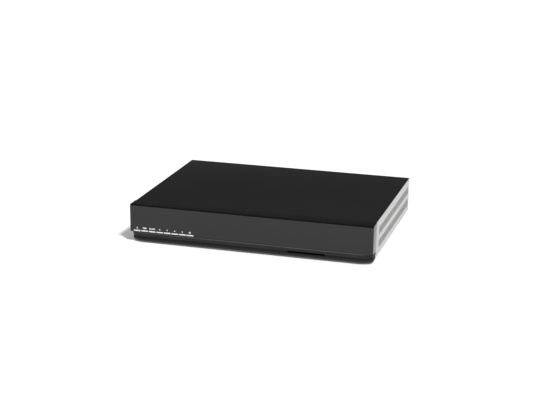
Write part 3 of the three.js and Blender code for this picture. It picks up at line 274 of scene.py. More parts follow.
def off_the_bench(name, bench):
    """The mesh on the bench becomes a piece of the scene, with its faces pointing out."""
    bmesh.ops.remove_doubles(bench, verts=bench.verts[:], dist=0.001 * mm)
    stray = [edge for edge in bench.edges if not edge.link_faces]
    bmesh.ops.delete(bench, geom=stray, context="EDGES")
    bmesh.ops.recalc_face_normals(bench, faces=bench.faces[:])
    mesh = bpy.data.meshes.new(name)
    bench.to_mesh(mesh)
    bench.free()
    smoothed(mesh)
    piece = bpy.data.objects.new(name, mesh)
    bpy.context.scene.collection.objects.link(piece)
    return piece


def arc(u, v, radius, start, end, steps=steps_in_a_bend):
    """Points round (u, v) from the start angle to the end angle, in degrees."""
    turns = [math.radians(start + (end - start) * i / steps) for i in range(steps + 1)]
    return [(u + radius * math.cos(turn), v + radius * math.sin(turn)) for turn in turns]


def circle(u, v, radius, sides=24):
    """The outline of a circle."""
    return arc(u, v, radius, 0, 360 - 360 / sides, sides - 1)


def square(u0, u1, v0, v1):
    """The outline of a rectangle."""
    return [(u0, v0), (u1, v0), (u1, v1), (u0, v1)]


def rounded(u0, u1, v0, v1, radius, steps=steps_in_a_bend):
    """The outline of a rectangle with round corners."""
    near_u, far_u, near_v, far_v = u0 + radius, u1 - radius, v0 + radius, v1 - radius
    corners = (far_u, far_v, 0), (near_u, far_v, 90), (near_u, near_v, 180), (far_u, near_v, 270)
    return [point for u, v, turn in corners for point in arc(u, v, radius, turn, turn + 90, steps)]


def skinned(name, rings, looped=False):
    """A closed skin over rings of points, each ring with as many. Both ends get a face, or the last ring
    is joined to the first where it is looped."""
    bench = bmesh.new()
    rows = [[bench.verts.new(point) for point in ring] for ring in rings]
    if looped:
        rows.append(rows[0])
    else:
        bench.faces.new(rows[0])
        bench.faces.new(rows[-1])
    for near, far in zip(rows, rows[1:]):
        for i in range(len(near)):
            bench.faces.new((near[i - 1], near[i], far[i], far[i - 1]))
    return off_the_bench(name, bench)


def run(name, outline, axis, start, end):
    """An outline run along an axis: drawn in Y and Z along X, in X and Z along Y, in X and Y along Z."""
    where = {
        "x": lambda u, v, along: (along, u, v),
        "y": lambda u, v, along: (u, along, v),
        "z": lambda u, v, along: (u, v, along),
    }[axis]
    return skinned(name, [[where(u, v, along) for u, v in outline] for along in (start, end)])


def turned(name, profile, centre, axis, steps=24):
    """A turned shape: pairs of radius and distance along the axis from the centre. It is solid where the
    profile starts and ends on the axis, and a ring where it starts off it."""
    outward = {"x": ("y", "z"), "y": ("z", "x"), "z": ("x", "y")}[axis]
    rings = []
    for radius, along in profile:
        ring = []
        for u, v in circle(0, 0, max(radius, 0.002 * mm), steps):
            point = Vector(centre)
            for way, shift in zip((axis, *outward), (along, u, v)):
                setattr(point, way, getattr(point, way) + shift)
            ring.append(point)
        rings.append(ring)
    return skinned(name, rings, profile[0][0] > 0)


def welded(name, *parts):
    """Several parts become one piece. Each part keeps its own finish."""
    bench = bmesh.new()
    finishes = []
    for part in parts:
        already = len(bench.faces)
        bench.from_mesh(part.data)
        bench.faces.ensure_lookup_table()
        own = list(part.data.materials)
        finishes += [finish for finish in own if finish not in finishes]
        for face in bench.faces[already:]:
            if own:
                face.material_index = finishes.index(own[face.material_index])
        bpy.data.objects.remove(part)
    piece = off_the_bench(name, bench)
    for finish in finishes:
        piece.data.materials.append(finish)
    return piece


def cut_away(piece, *tools, crossing=False):
    """The tools are cut out of the piece. crossing says that the tools cut into each other."""
    tool = welded("tool", *tools)
    change = piece.modifiers.new("cut", "BOOLEAN")
    change.operation = "DIFFERENCE"
    change.solver = "EXACT"
    change.use_self = crossing
    change.object = tool
    cut = piece.evaluated_get(bpy.context.evaluated_depsgraph_get())
    mesh = bpy.data.meshes.new_from_object(cut)
    piece.modifiers.clear()
    piece.data = mesh
    smoothed(mesh)
    bpy.data.objects.remove(tool)
    return piece


def softened(piece, width, steps=2, sharper_than=32):
    """The sharp edges of a piece get a small round."""
    bench = bmesh.new()
    bench.from_mesh(piece.data)
    limit = math.radians(sharper_than)
    sharp = [edge for edge in bench.edges if len(edge.link_faces) == 2 and edge.calc_face_angle() > limit]
    how = {"segments": steps, "profile": 0.5, "affect": "EDGES", "clamp_overlap": True}
    bmesh.ops.bevel(bench, geom=sharp, offset=width, **how)
    bench.to_mesh(piece.data)
    bench.free()
    smoothed(piece.data)
    return piece


def block(name, low, high, edge=0):
    """A block between two corners. Its edges get a small round where edge is given."""
    piece = run(name, square(low[0], high[0], low[1], high[1]), "z", low[2], high[2])
    return softened(piece, edge) if edge else piece


def coated(finish, *parts):
    """Each of the parts gets this finish as its only one."""
    for part in parts:
        part.data.materials.clear()
        part.data.materials.append(finish)
    return parts[0]


def box_of(node):
    """The low and the high corner of a solid's box, and its middle."""
    low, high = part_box(node)
    return low, high, (low + high) / 2


silver_paint = grained(
    "silver paint", (0.49, 0.49, 0.482), (0.53, 0.53, 0.522), 9, 2600, 0.36, 0.5, 0.004, Metallic=0.25
)
# Slot walls: a near-black finish, painted shade that stands for the darkness inside the vents.
punched_edge_painted_shade = grained(
    "punched edge", (0.045, 0.045, 0.044), (0.07, 0.07, 0.068), 300, (300, 4000, 4000), 0.5, 0.7, 0.01,
    Metallic=0.3,
)
tray_low, tray_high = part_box("chassis_tray")
inner_left = tray_low.x + gauge
inner_right = tray_high.x - gauge
floor_top = tray_low.z + gauge
left_bend = (tray_low.x + bend_radius, tray_low.z + bend_radius)
right_bend = (tray_high.x - bend_radius, tray_low.z + bend_radius)
outline = [
    (tray_low.x, tray_high.z),
    *arc(*left_bend, bend_radius, 180, 270),
    *arc(*right_bend, bend_radius, 270, 360),
    (tray_high.x, tray_high.z),
    (inner_right, tray_high.z),
    *arc(*right_bend, bend_radius - gauge, 360, 270),
    *arc(*left_bend, bend_radius - gauge, 270, 180),
    (inner_left, tray_high.z),
]
folded_sheet = run("folded_sheet", outline, "y", tray_low.y, tray_high.y)
slots = []
for low, high in slot_bands:
    for i in range(slots_in_a_band):
        front = tray_low.y + first_slot_back + i * slot_pitch
        outline = rounded(front, front + slot_width, low, high, slot_width / 2 - fit / 4, 4)
        slots.append(run("slot", outline, "x", tray_low.x - overrun, tray_high.x + overrun))
cut_away(folded_sheet, *slots)
outline = rounded(inner_left - fit, inner_right + fit, floor_top - fit, tray_high.z, gauge)
front_wall = run("front_wall", outline, "y", tray_low.y + fit / 10, tray_low.y + gauge)
reader_low, reader_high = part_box("smart_card_reader")
lead_low, lead_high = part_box("front_lead")
lead_sides = (lead_low.x - lead_window / 2, lead_low.x + 3 * lead_window)
openings = [rounded(x - tab_half, x + tab_half, tab_top - tab_height, tab_top, fit) for x in tab_places]
openings += [
    rounded(reader_low.x - 2 * fit, reader_high.x + 2 * fit, floor_top + fit, reader_high.z + 2 * fit, fit),
    rounded(*lead_sides, lead_high.z - lead_window, lead_high.z + lead_window / 2, 2 * fit),
]
wall_reach = (tray_low.y - overrun, tray_low.y + gauge + overrun)
cut_away(front_wall, *[run("opening", outline, "y", *wall_reach) for outline in openings])
board_low, board_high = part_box("main_board")
power_low, power_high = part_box("power_board")
post_places = [box_of(f"board_screw_{i}")[2] for i in (1, 2, 3, 4)]
front_y, rear_y = power_low.y + post_inset, power_high.y - post_inset
right_x = power_high.x - post_inset
for x, y in ((power_low.x + post_inset, front_y), (right_x, front_y), (right_x, rear_y)):
    post_places.append(Vector((x, y, 0)))
post_length = post_top - floor_top
profile = [(0, 0), (post_radius + gauge, 0), (post_radius, gauge), (post_radius, post_length - fit)]
profile += [(post_radius - fit, post_length), (0, post_length)]
posts = [turned("post", profile, (place.x, place.y, floor_top), "z", 16) for place in post_places]
flange_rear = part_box("rear_panel")[0].y - fit
flanges = []
for left in (inner_left, inner_right - rear_flange):
    outline = rounded(left, left + rear_flange, floor_top, tray_high.z, fit)
    flanges.append(run("flange", outline, "y", flange_rear - gauge, flange_rear))
tray = welded("tray", folded_sheet, front_wall, *flanges, *posts)
tray.data.materials.append(silver_paint)
tray.data.materials.append(punched_edge_painted_shade)
# Faces inside the slots of both walls get the near-black finish as painted shade of the vents.
for face in tray.data.polygons:
    in_a_wall = inner_right < abs(face.center.x) < tray_high.x - fit / 4
    if in_a_wall and abs(face.normal.x) < 0.1 and slot_bands[0][0] <= face.center.z <= slot_bands[-1][1]:
        face.material_index = 1
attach(tray, "casing")
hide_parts("chassis_tray")

# Feet: four turned pads of black rubber, each pressed through a hole in the floor by its stud.
# The sole is hollowed a little, so that the pad grips with its rim.
pad_height = 4.6 * mm
pad_round = 1.2 * mm
sole_hollow = 0.6 * mm
sole_rim = 2.6 * mm
stud_radius = 2 * mm
stud_head_radius = 3 * mm
stud_head_base = 5.8 * mm
rubber = grained(
    "foot rubber", (0.018, 0.018, 0.018), (0.028, 0.027, 0.026), 120, 3000, 0.75, 0.95, 0.02,
    Specular_IOR_Level=0.3,
)
for place in ("front_left", "front_right", "rear_left", "rear_right"):
    low, high, middle = box_of(f"foot_{place}")
    pad_radius = (high.x - low.x) / 2
    profile = [
        (0, sole_hollow),
        (pad_radius - sole_rim - sole_hollow, sole_hollow),
        (pad_radius - sole_rim, 0),
        (pad_radius - pad_round, 0),
        *arc(pad_radius - pad_round, pad_round, pad_round, -80, 0, 5),
        (pad_radius, pad_height - pad_round / 2),
        (pad_radius - pad_round / 2, pad_height),
        (stud_radius, pad_height),
        (stud_radius, stud_head_base),
        (stud_head_radius, stud_head_base),
        (stud_radius, high.z),
        (0, high.z),
    ]
    foot = turned(f"rubber_foot_{place}", profile, (middle.x, middle.y, 0), "z", 40)
    foot.data.materials.append(rubber)
    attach(foot, "casing")
    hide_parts(f"foot_{place}")

# Main board: green lacquered laminate on four posts, with its processor, memories, capacitors and the
# headers of its leads soldered on. The copper tracks show through the lacquer as lighter lines.
board_thickness = 1.6 * mm
board_corner = 1 * mm
screw_clearance = 1.6 * mm
solder_ring = 3.4 * mm
solder_thickness = 0.05 * mm
board_base = board_low.z
board_top = board_base + board_thickness
processor_size = 31 * mm
processor_height = 2.4 * mm
memory_size = 11 * mm
memory_height = 1.2 * mm
memory_pitch = 18 * mm
chip_lift = 0.12 * mm
chip_edge = 0.12 * mm
leg_width = 0.42 * mm
leg_thickness = 0.16 * mm
leg_reach = 1 * mm
leg_pitch = 1.27 * mm
capacitor_radius = 4 * mm
capacitor_height = 12 * mm
capacitor_pitch = 14 * mm
header_long = 20 * mm
header_deep = 6 * mm
header_high = 8 * mm
header_plug_share = 0.45
header_edge = 0.3 * mm
resistor_long = 1.6 * mm
resistor_wide = 0.8 * mm
resistor_high = 0.5 * mm
resistor_cap_share = 0.22
resistor_pitch = 3 * mm
driver_pins = 10
driver_size = (14 * mm, 7.5 * mm, 1.6 * mm)
coil_size = 7 * mm
coil_high = 3.2 * mm
tuner_can_depth = 34 * mm

# The effect of all boards: tracks in bundles along X or along Y, and dots of solder. Dense is the number
# of tracks in a metre, Bundles the number of bundles, and Side turns the pattern upright.
tracks_effect, given, made = effect_group(
    "Board tracks",
    {
        "Lacquer": "Color", "Track": "Color", "Solder": "Color", "Dense": "Float", "Bundles": "Float",
        "Side": "Float",
    },
    {"Colour": "Color", "Metal": "Float", "Height": "Float"},
)
tree = tracks_effect
apart = added(tree, "SeparateXYZ", Vector=added(tree, "TexCoord").outputs["Object"]).outputs
upright = mixed(tree, given["Side"], apart["Y"], apart["Z"])
flat = added(tree, "CombineXYZ", X=apart["X"], Y=upright).outputs[0]
cells = added(tree, "TexVoronoi", [("distance", "CHEBYCHEV")], Vector=flat, Scale=given["Bundles"])
chance = added(tree, "SeparateColor", Color=cells.outputs["Color"]).outputs
other_way = maths(tree, "GREATER_THAN", chance[0], 0.5)
across = maths(tree, "MULTIPLY", mixed(tree, other_way, apart["X"], upright), given["Dense"])
along = mixed(tree, other_way, upright, apart["X"])
line = maths(tree, "LESS_THAN", maths(tree, "FRACT", across), 0.42)
which_line = maths(tree, "MULTIPLY", maths(tree, "FLOOR", across), 0.73)
lengths = added(tree, "CombineXYZ", X=which_line, Y=maths(tree, "MULTIPLY", along, 70.0)).outputs[0]
broken = added(tree, "TexNoise", Scale=1, Detail=0, Vector=lengths).outputs["Fac"]
tracks = maths(tree, "MULTIPLY", line, maths(tree, "GREATER_THAN", broken, 0.47))
spots = added(tree, "TexVoronoi", Scale=330, Vector=flat).outputs["Distance"]
fewer = maths(tree, "GREATER_THAN", chance[1], 0.35)
dots = maths(tree, "MULTIPLY", maths(tree, "LESS_THAN", spots, 0.14), fewer)
coloured = mixed(tree, tracks, given["Lacquer"], given["Track"], "RGBA")
fed(
    tree,
    made,
    Colour=mixed(tree, dots, coloured, given["Solder"], "RGBA"),
    Metal=dots,
    Height=maths(tree, "ADD", maths(tree, "MULTIPLY", tracks, 0.5), dots),
)


def board_finish(name, lacquer, track, dense, bundles, side=0):
    """The lacquered face of a board."""
    takes = {"Lacquer": (*lacquer, 1), "Track": (*track, 1), "Solder": (0.62, 0.62, 0.6, 1)}
    takes.update(Dense=dense, Bundles=bundles, Side=side)
    return finished(name, tracks_effect, 0.035, takes, Roughness=0.32, Metallic="Metal")


green_lacquer = board_finish("green lacquer", (0.012, 0.085, 0.035), (0.03, 0.16, 0.065), 900, 55)
bright_tin = grained(
    "bright tin", (0.62, 0.61, 0.58), (0.72, 0.71, 0.68), 90, (700, 700, 2500), 0.2, 0.34, 0.004, Metallic=1
)
gold_plate = grained(
    "gold plate", (0.83, 0.58, 0.22), (0.9, 0.66, 0.3), 300, 2500, 0.18, 0.3, 0.002, Metallic=1
)
chip_resin = grained("chip resin", (0.014, 0.014, 0.015), (0.02, 0.02, 0.021), 80, 5000, 0.5, 0.66, 0.01)
nylon = grained("header nylon", (0.74, 0.72, 0.64), (0.8, 0.78, 0.7), 150, 3000, 0.42, 0.55, 0.01)
black_sleeve = grained(
    "black sleeve", (0.012, 0.013, 0.018), (0.018, 0.02, 0.027), 120, (1500, 1500, 300), 0.25, 0.36, 0.01
)
ceramic = grained("resistor ceramic", (0.06, 0.055, 0.05), (0.22, 0.17, 0.1), 700, 4000, 0.4, 0.6, 0.005)


def brick(name, x, y, wide, deep, base, top, edge=0):
    """A block that stands upright round its place on a board."""
    return block(name, (x - wide / 2, y - deep / 2, base), (x + wide / 2, y + deep / 2, top), edge)


def chip(x, y, wide, deep, high, pins=0):
    """A black chip. Where it has pins, flat legs reach out along both of its long sides."""
    low = board_top + chip_lift
    parts = [coated(chip_resin, brick("chip", x, y, wide, deep, low, low + high, chip_edge))]
    leg_y = (deep + leg_reach - leg_width) / 2
    for i in range(pins):
        leg_x = x + leg_pitch * (i - (pins - 1) / 2)
        for place in (y - leg_y, y + leg_y):
            size = (leg_width, leg_width + leg_reach)
            leg = brick("leg", leg_x, place, *size, board_top, low + leg_thickness)
            parts.append(coated(bright_tin, leg))
    return parts


def capacitor(x, y, base, radius, height, sleeve):
    """An upright capacitor: an aluminium can in a plain sleeve, crimped near its foot, with a scored top."""
    bead = radius * 0.07
    score = radius * 0.12
    seam = height - 1.5 * bead
    profile = [(0, 0), (radius - bead, 0), (radius, bead), (radius, 3 * bead), (radius - bead, 4 * bead)]
    profile += [(radius - bead, 5 * bead), (radius, 6 * bead), (radius, height - 2 * bead)]
    profile += [
        (radius - bead, height - bead), (radius * 0.82, height - bead), (radius * 0.78, seam), (0, seam)
    ]
    can = coated(sleeve, turned("can", profile, (x, y, base), "z", 28))
    profile = [
        (0, -2 * bead), (radius * 0.8, -2 * bead), (radius * 0.8, 0), (radius * 0.74, bead / 2),
        (0, bead / 2),
    ]
    top = coated(bright_tin, turned("top", profile, (x, y, base + seam), "z", 28))
    scores = [
        brick("score", x, y, wide, deep, base + seam, base + height + overrun)
        for wide, deep in ((radius * 1.2, score), (score, radius * 1.2))
    ]
    return [can, cut_away(top, *scores, crossing=True)]


def header(x, y, wide, deep, base):
    """The white header of a lead with its plug pushed in: a base, and a slimmer plug with ribs along both
    of its long sides."""
    high = base + header_high
    seam = base + header_high * (1 - header_plug_share)
    step = header_edge
    parts = [
        brick("base", x, y, wide, deep, base, seam, step / 2),
        brick("plug", x, y, wide - 2 * step, deep - 2 * step, seam - step, high, step / 2),
    ]
    ribs = max(2, round(wide / header_deep))
    for i in range(ribs):
        rib_x = x + (wide - 2 * step) * ((i + 0.5) / ribs - 0.5)
        parts.append(brick("rib", rib_x, y, 2 * step, deep - step * 2 / 3, seam, high - 2 * step))
    return coated(nylon, welded("header", *parts))


def resistor(x, y, along_x):
    """A small soldered resistor with its two tinned ends."""
    top = board_top + resistor_high
    lap = chip_edge / 2
    cap = resistor_long * resistor_cap_share
    size = (resistor_long, resistor_wide) if along_x else (resistor_wide, resistor_long)
    end_size = (cap + lap, resistor_wide + lap) if along_x else (resistor_long + lap, cap + lap)
    parts = [coated(ceramic, brick("resistor", x, y, *size, board_top, top))]
    for shift in ((cap - resistor_long) / 2, (resistor_long - cap) / 2):
        place = (x + shift, y) if along_x else (x, y + shift)
        parts.append(coated(bright_tin, brick("end", *place, *end_size, board_top, top + lap / 2)))
    return parts


def laminate(name, low, high, finish, holes):
    """A board's sheet, drilled for its screws, with a ring of solder round each hole."""
    sheet = run(name, rounded(low.x, high.x, low.y, high.y, board_corner), "z", board_base, board_top)
    outlines = [circle(place.x, place.y, screw_clearance) for place in holes]
    drills = [run("drill", outline, "z", board_base - overrun, board_top + overrun) for outline in outlines]
    cut_away(sheet, *drills)
    profile = square(screw_clearance, solder_ring, -solder_thickness, solder_thickness)
    rings = [turned("ring", profile, (place.x, place.y, board_top), "z") for place in holes]
    coated(finish, sheet)
    coated(bright_tin, *rings)
    return [sheet, *rings]


main_parts = laminate("main_sheet", board_low, board_high, green_lacquer, post_places[:4])
sink_low, sink_high, processor = box_of("processor_heat_sink")
height = processor_height - chip_lift - chip_edge
main_parts += chip(processor.x, processor.y, processor_size, processor_size, height)
memory_start = processor.x + processor_size / 2 + 1.5 * memory_size
for column in (0, 1):
    for row in (0, 1):
        x = memory_start + column * memory_pitch
        y = processor.y + (row - 1) * memory_pitch + memory_size / 2
        main_parts += chip(x, y, memory_size, memory_size, memory_height - chip_lift)
capacitor_y = board_low.y + 2 * capacitor_pitch
for i in range(5):
    x = board_low.x + post_inset + capacitor_pitch * (i + 2)
    main_parts += capacitor(x, capacitor_y, board_top, capacitor_radius, capacitor_height, black_sleeve)
disk_header = (board_low.x + header_long / 2 + post_inset, board_low.y + 2 * header_long)
front_header = (board_low.x + header_long / 2 + 3 * post_inset, board_low.y + header_deep)
fan_header = (board_low.x + header_deep, board_high.y - tuner_can_depth - header_long)
power_header = (fan_header[0], fan_header[1] - header_long)
for place in (disk_header, front_header):
    main_parts.append(header(*place, header_long, header_deep, board_top))
for place in (fan_header, power_header):
    main_parts.append(header(*place, header_deep, header_deep, board_top))
for x, y in (
    (board_low.x + 62 * mm, board_high.y - 40 * mm),
    (board_low.x + 96 * mm, board_high.y - 34 * mm),
    (board_high.x - 62 * mm, board_high.y - 36 * mm),
    (board_high.x - 36 * mm, board_high.y - 36 * mm),
    (board_high.x - 30 * mm, processor.y - 10 * mm),
):
    main_parts += chip(x, y, *driver_size, driver_pins)
for i in range(4):
    place = (processor.x - 32 * mm, processor.y - 12 * mm + i * 1.6 * coil_size)
    coil = brick("coil", *place, coil_size, coil_size, board_top, board_top + coil_high, 4 * chip_edge)
    main_parts.append(coated(chip_resin, coil))
resistor_rows = (
    (board_low.x + 50 * mm, processor.y + 30 * mm, 14, True),
    (board_low.x + 50 * mm, processor.y + 34 * mm, 14, True),
    (processor.x - 20 * mm, processor.y - 27 * mm, 12, False),
    (memory_start - memory_size / 2, processor.y + 22 * mm, 10, False),
    (board_low.x + 78 * mm, board_high.y - 24 * mm, 20, False),
    (board_high.x - 66 * mm, board_high.y - 25 * mm, 15, False),
    (board_low.x + 100 * mm, board_low.y + 12 * mm, 16, True),
    (board_low.x + 100 * mm, board_low.y + 16 * mm, 16, True),
)
for start_x, row_y, count, along_x in resistor_rows:
    for i in range(count):
        main_parts += resistor(start_x + i * resistor_pitch, row_y, along_x)
main_circuit_board = welded("main_circuit_board", *main_parts)
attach(main_circuit_board, "casing")
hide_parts("main_board")

# Board screws: four zinc-plated pan heads with a cross recess, turned into the posts below the main
# board. The fan, the disk and the lid are held by the same screw.
screw_head = 2 * mm
screw_shank = 1.4 * mm
screw_core = 1.12 * mm
thread_pitch = 0.5 * mm
recess_width = 0.8 * mm
recess_reach = 1.8 * mm
recess_depth = 1.1 * mm
zinc_plate = grained(
    "zinc plate", (0.6, 0.6, 0.62), (0.68, 0.67, 0.64), 400, 3000, 0.22, 0.38, 0.004, Metallic=1
)


def screw(name, node, finish, axis="z", way=1):
    """A pan-head screw in place of its solid. way is 1 where its head is at the high end."""
    low, high, place = box_of(node)
    head_radius = (high.x - low.x) / 2
    seat = getattr(high, axis) - screw_head if way > 0 else getattr(low, axis) + screw_head
    length = getattr(high, axis) - getattr(low, axis) - screw_head
    setattr(place, axis, seat)
    dome = ((0, 1), (0.42, 0.96), (0.72, 0.82), (0.92, 0.55), (1, 0.25), (1, 0.05), (0.96, 0))
    profile = [(head_radius * u, way * screw_head * v) for u, v in dome]
    for i in range(int(length / thread_pitch)):
        profile += [(screw_shank, -way * thread_pitch * i), (screw_core, -way * thread_pitch * (i + 0.5))]
    profile += [
        (screw_core, -way * (length - thread_pitch / 2)),
        (screw_core / 2, -way * length),
        (0, -way * length),
    ]
    made = turned(name, profile, place, axis, 20)
    u, v = {"z": (place.x, place.y), "y": (place.x, place.z)}[axis]
    half = recess_width / 2
    corner = [(half, recess_reach), (half, half), (recess_reach, half)]
    cross = []
    for _ in range(4):
        cross += [(u + a, v + b) for a, b in corner]
        corner = [(b, -a) for a, b in corner]
    depth = sorted((seat + way * (screw_head - recess_depth), seat + way * (screw_head + overrun)))
    return coated(finish, cut_away(made, run("recess", cross, axis, *depth)))


for i in (1, 2, 3, 4):
    board_screw = screw(f"board_fixing_{i}", f"board_screw_{i}", zinc_plate)
    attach(board_screw, "casing")
    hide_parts(f"board_screw_{i}")

# Processor heat sink: an extruded comb of black anodised aluminium that rests on the processor. Its fins
# run from front to rear, in line with the air that the fan draws.
fin_count = 8
fin_width = 1.4 * mm
fin_base = 3 * mm
fin_tip = 0.35 * mm
black_anodised = grained(
    "black anodised",
    (0.022, 0.022, 0.024),
    (0.034, 0.034, 0.037),
    (60, 20, 60),
    (3000, 120, 3000),
    0.34,
    0.46,
    0.01,
    Metallic=0.6,
)
milled_aluminium = grained(
    "milled aluminium", (0.52, 0.53, 0.54), (0.6, 0.61, 0.62), (60, 20, 60), (3000, 150, 3000), 0.26, 0.4,
    0.01, Metallic=1,
)
fin_pitch = (sink_high.x - sink_low.x - fin_width) / (fin_count - 1)
comb = [(sink_low.x, sink_low.z), (sink_high.x, sink_low.z)]
for i in reversed(range(fin_count)):
    left = sink_low.x + i * fin_pitch
    right = left + fin_width
    comb += [(right, sink_low.z + fin_base), (right, sink_high.z - fin_tip), (right - fin_tip, sink_high.z)]
    comb += [(left + fin_tip, sink_high.z), (left, sink_high.z - fin_tip), (left, sink_low.z + fin_base)]
finned_sink = coated(black_anodised, run("finned_sink", comb, "y", sink_low.y, sink_high.y))
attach(finned_sink, "casing")
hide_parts("processor_heat_sink")

# Power board: bare tan laminate with the fuse in its clips, a film capacitor, diodes and the header of
# its harness, all on the side where the mains comes in.
fuse_radius = 2.6 * mm
fuse_length = 20 * mm
fuse_cap_share = 0.27
clip_thickness = 0.4 * mm
film_long = 17 * mm
film_wide = 8 * mm
film_high = 13 * mm
diode_radius = 1.4 * mm
diode_length = 5.2 * mm
inlet_depth = 20 * mm
tan_laminate = board_finish("tan laminate", (0.36, 0.22, 0.075), (0.3, 0.17, 0.05), 420, 60)
fuse_glass = grained(
    "fuse glass", (0.66, 0.7, 0.68), (0.74, 0.78, 0.76), (200, 60, 200), (400, 60, 400), 0.03, 0.08, 0.001,
    Coat_Weight=1,
)
film_yellow = grained(
    "film capacitor yellow", (0.7, 0.46, 0.03), (0.76, 0.52, 0.05), 120, 2500, 0.4, 0.52, 0.01
)
power_parts = laminate("power_sheet", power_low, power_high, tan_laminate, post_places[4:])
harness_header = (power_high.x - header_deep, power_low.y + header_deep / 2)
power_parts.append(header(*harness_header, header_deep, header_deep, board_top))
fuse_x = power_low.x + post_inset
fuse_end = power_high.y - inlet_depth - fuse_radius
fuse_cap = fuse_length * fuse_cap_share
fuse_z = board_top + fuse_radius
profile = square(0, fuse_radius - fit, fit, fuse_length - fit)
power_parts.append(
    coated(fuse_glass, turned("fuse", profile, (fuse_x, fuse_end - fuse_length, fuse_z), "y"))
)
for start in (fuse_end - fuse_length, fuse_end - fuse_cap):
    profile = [(0, 0), (fuse_radius - fit, 0), (fuse_radius, fit), (fuse_radius, fuse_cap - fit)]
    profile += [(fuse_radius - fit, fuse_cap), (0, fuse_cap)]
    power_parts.append(coated(bright_tin, turned("cap", profile, (fuse_x, start, fuse_z), "y")))
    for side in (-1, 1):
        near, far = sorted((fuse_x + side * fuse_radius, fuse_x + side * (fuse_radius + clip_thickness)))
        clip_top = (far, start + fuse_cap, fuse_z + fuse_radius / 2)
        power_parts.append(
            coated(bright_tin, block("clip", (near, start, board_top), clip_top, clip_thickness / 4))
        )
film_x = fuse_x + fuse_radius + film_wide
film_y = (fuse_end + power_low.y) / 2 + film_wide + fuse_radius
film = brick("film", film_x, film_y, film_wide, film_long, board_top, board_top + film_high, 2 * fit)
power_parts.append(coated(film_yellow, film))
diode_x = power_high.x - 2.5 * diode_length - header_long
lead, half = diode_radius / 4, diode_length / 2
profile = [(0, -diode_length), (lead, -diode_length), (lead, -half), (diode_radius, fit - half)]
profile += [(radius, -along) for radius, along in reversed(profile)]
for i in range(3):
    place = (diode_x, power_low.y + 2 * header_deep + i * 3 * diode_radius, board_top + diode_radius)
    power_parts.append(coated(chip_resin, turned("diode", profile, place, "x", 16)))
mains_circuit_board = welded("mains_circuit_board", *power_parts)
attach(mains_circuit_board, "casing")
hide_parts("power_board")

# Transformer: a grey ferrite frame round a bobbin whose winding is wrapped in yellow tape. The tape
# overlaps itself in steps, and the bobbin stands on the power board by its pins.
ferrite_depth = 18 * mm
ferrite_leg = 4.6 * mm
frame_bar = ferrite_leg * 0.7
bobbin_foot = 3 * mm
bobbin_flange = 1.5 * mm
tape_wraps = 6
tape_step = 0.12 * mm
ferrite = grained(
    "ferrite", (0.045, 0.045, 0.048), (0.065, 0.065, 0.068), 150, 2800, 0.45, 0.62, 0.03, Metallic=0.35
)
tape_yellow = grained(
    "winding tape", (0.62, 0.4, 0.02), (0.7, 0.47, 0.04), (60, 60, 400), (200, 200, 3500), 0.16, 0.3, 0.01
)
low, high, middle = box_of("power_transformer")
outline = rounded(low.x, high.x, low.z + 2 * fit, high.z, 3 * fit)
ferrite_frame = run("ferrite", outline, "y", middle.y - ferrite_depth / 2, middle.y + ferrite_depth / 2)
outline = rounded(low.x + ferrite_leg, high.x - ferrite_leg, low.z + frame_bar, high.z - frame_bar, fit)
cut_away(ferrite_frame, run("window", outline, "y", middle.y - ferrite_depth, middle.y + ferrite_depth))
softened(ferrite_frame, 2 * fit)
wound_low = low.z + bobbin_foot
wound_high = high.z - bobbin_foot - bobbin_flange
wrap_height = (wound_high - wound_low) / tape_wraps
wraps = []
for i in range(tape_wraps):
    inset = tape_step * (i % 2)
    half_x = (high.x - low.x) / 2 - ferrite_leg - fit - inset
    half_y = (high.y - low.y) / 2 - fit - inset
    outline = rounded(
        middle.x - half_x, middle.x + half_x, middle.y - half_y, middle.y + half_y, ferrite_leg
    )
    wraps.append(run("wrap", outline, "z", wound_low + wrap_height * i, wound_low + wrap_height * (i + 1)))
foot_low, foot_high = (low.x + 2 * fit, low.y, low.z), (high.x - 2 * fit, high.y, low.z + bobbin_foot)
top_low = (low.x + ferrite_leg, low.y, wound_high)
top_high = (high.x - ferrite_leg, high.y, wound_high + bobbin_flange)
flanges = [block("flange", foot_low, foot_high, 2 * fit), block("flange", top_low, top_high, fit)]
coated(ferrite, ferrite_frame)
coated(tape_yellow, *wraps)
coated(chip_resin, *flanges)
wound_transformer = welded("wound_transformer", ferrite_frame, *wraps, *flanges)
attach(wound_transformer, "casing")
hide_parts("power_transformer")

# Reservoir capacitor: a large can in a dark blue sleeve that smooths the rectified mains. It stands on
# the power board, and its scored top would give way first.
blue_sleeve = grained(
    "blue sleeve", (0.015, 0.03, 0.1), (0.022, 0.042, 0.13), 90, (1500, 1500, 250), 0.22, 0.32, 0.01,
    Coat_Weight=0.3,
)
low, high, middle = box_of("reservoir_capacitor")
can = capacitor(middle.x, middle.y, low.z, (high.x - low.x) / 2, high.z - low.z, blue_sleeve)
reservoir = welded("reservoir", *can)
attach(reservoir, "casing")
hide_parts("reservoir_capacitor")

# Power heat sink: a folded aluminium plate on the power board, with the switching transistor screwed
# below its fold.
plate_thickness = 2 * mm
plate_bend = 2.4 * mm
transistor_wide = 10 * mm
transistor_high = 9 * mm
transistor_tab = 15.5 * mm
transistor_deep = 4.4 * mm
transistor_base = 6 * mm
low, high, middle = box_of("power_heat_sink")
plate_rear = high.y - plate_thickness
plate_front = plate_rear - plate_thickness
bend = (plate_rear - plate_bend, high.z - plate_bend)
outline = [
    (plate_rear, low.z), *arc(*bend, plate_bend, 0, 90), (low.y, high.z), (low.y, high.z - plate_thickness)
]
outline += [*arc(*bend, plate_bend - plate_thickness, 90, 0), (plate_front, low.z)]
plate = run("plate", outline, "x", low.x, high.x)
foot_reach = (high.x - low.x) / 4
foot_low = (middle.x - foot_reach, plate_rear - fit, low.z)
foot_high = (middle.x + foot_reach, high.y, low.z + plate_thickness)
plate_foot = block("foot", foot_low, foot_high, fit)
left, right = middle.x - transistor_wide / 2, middle.x + transistor_wide / 2
base = low.z + transistor_base
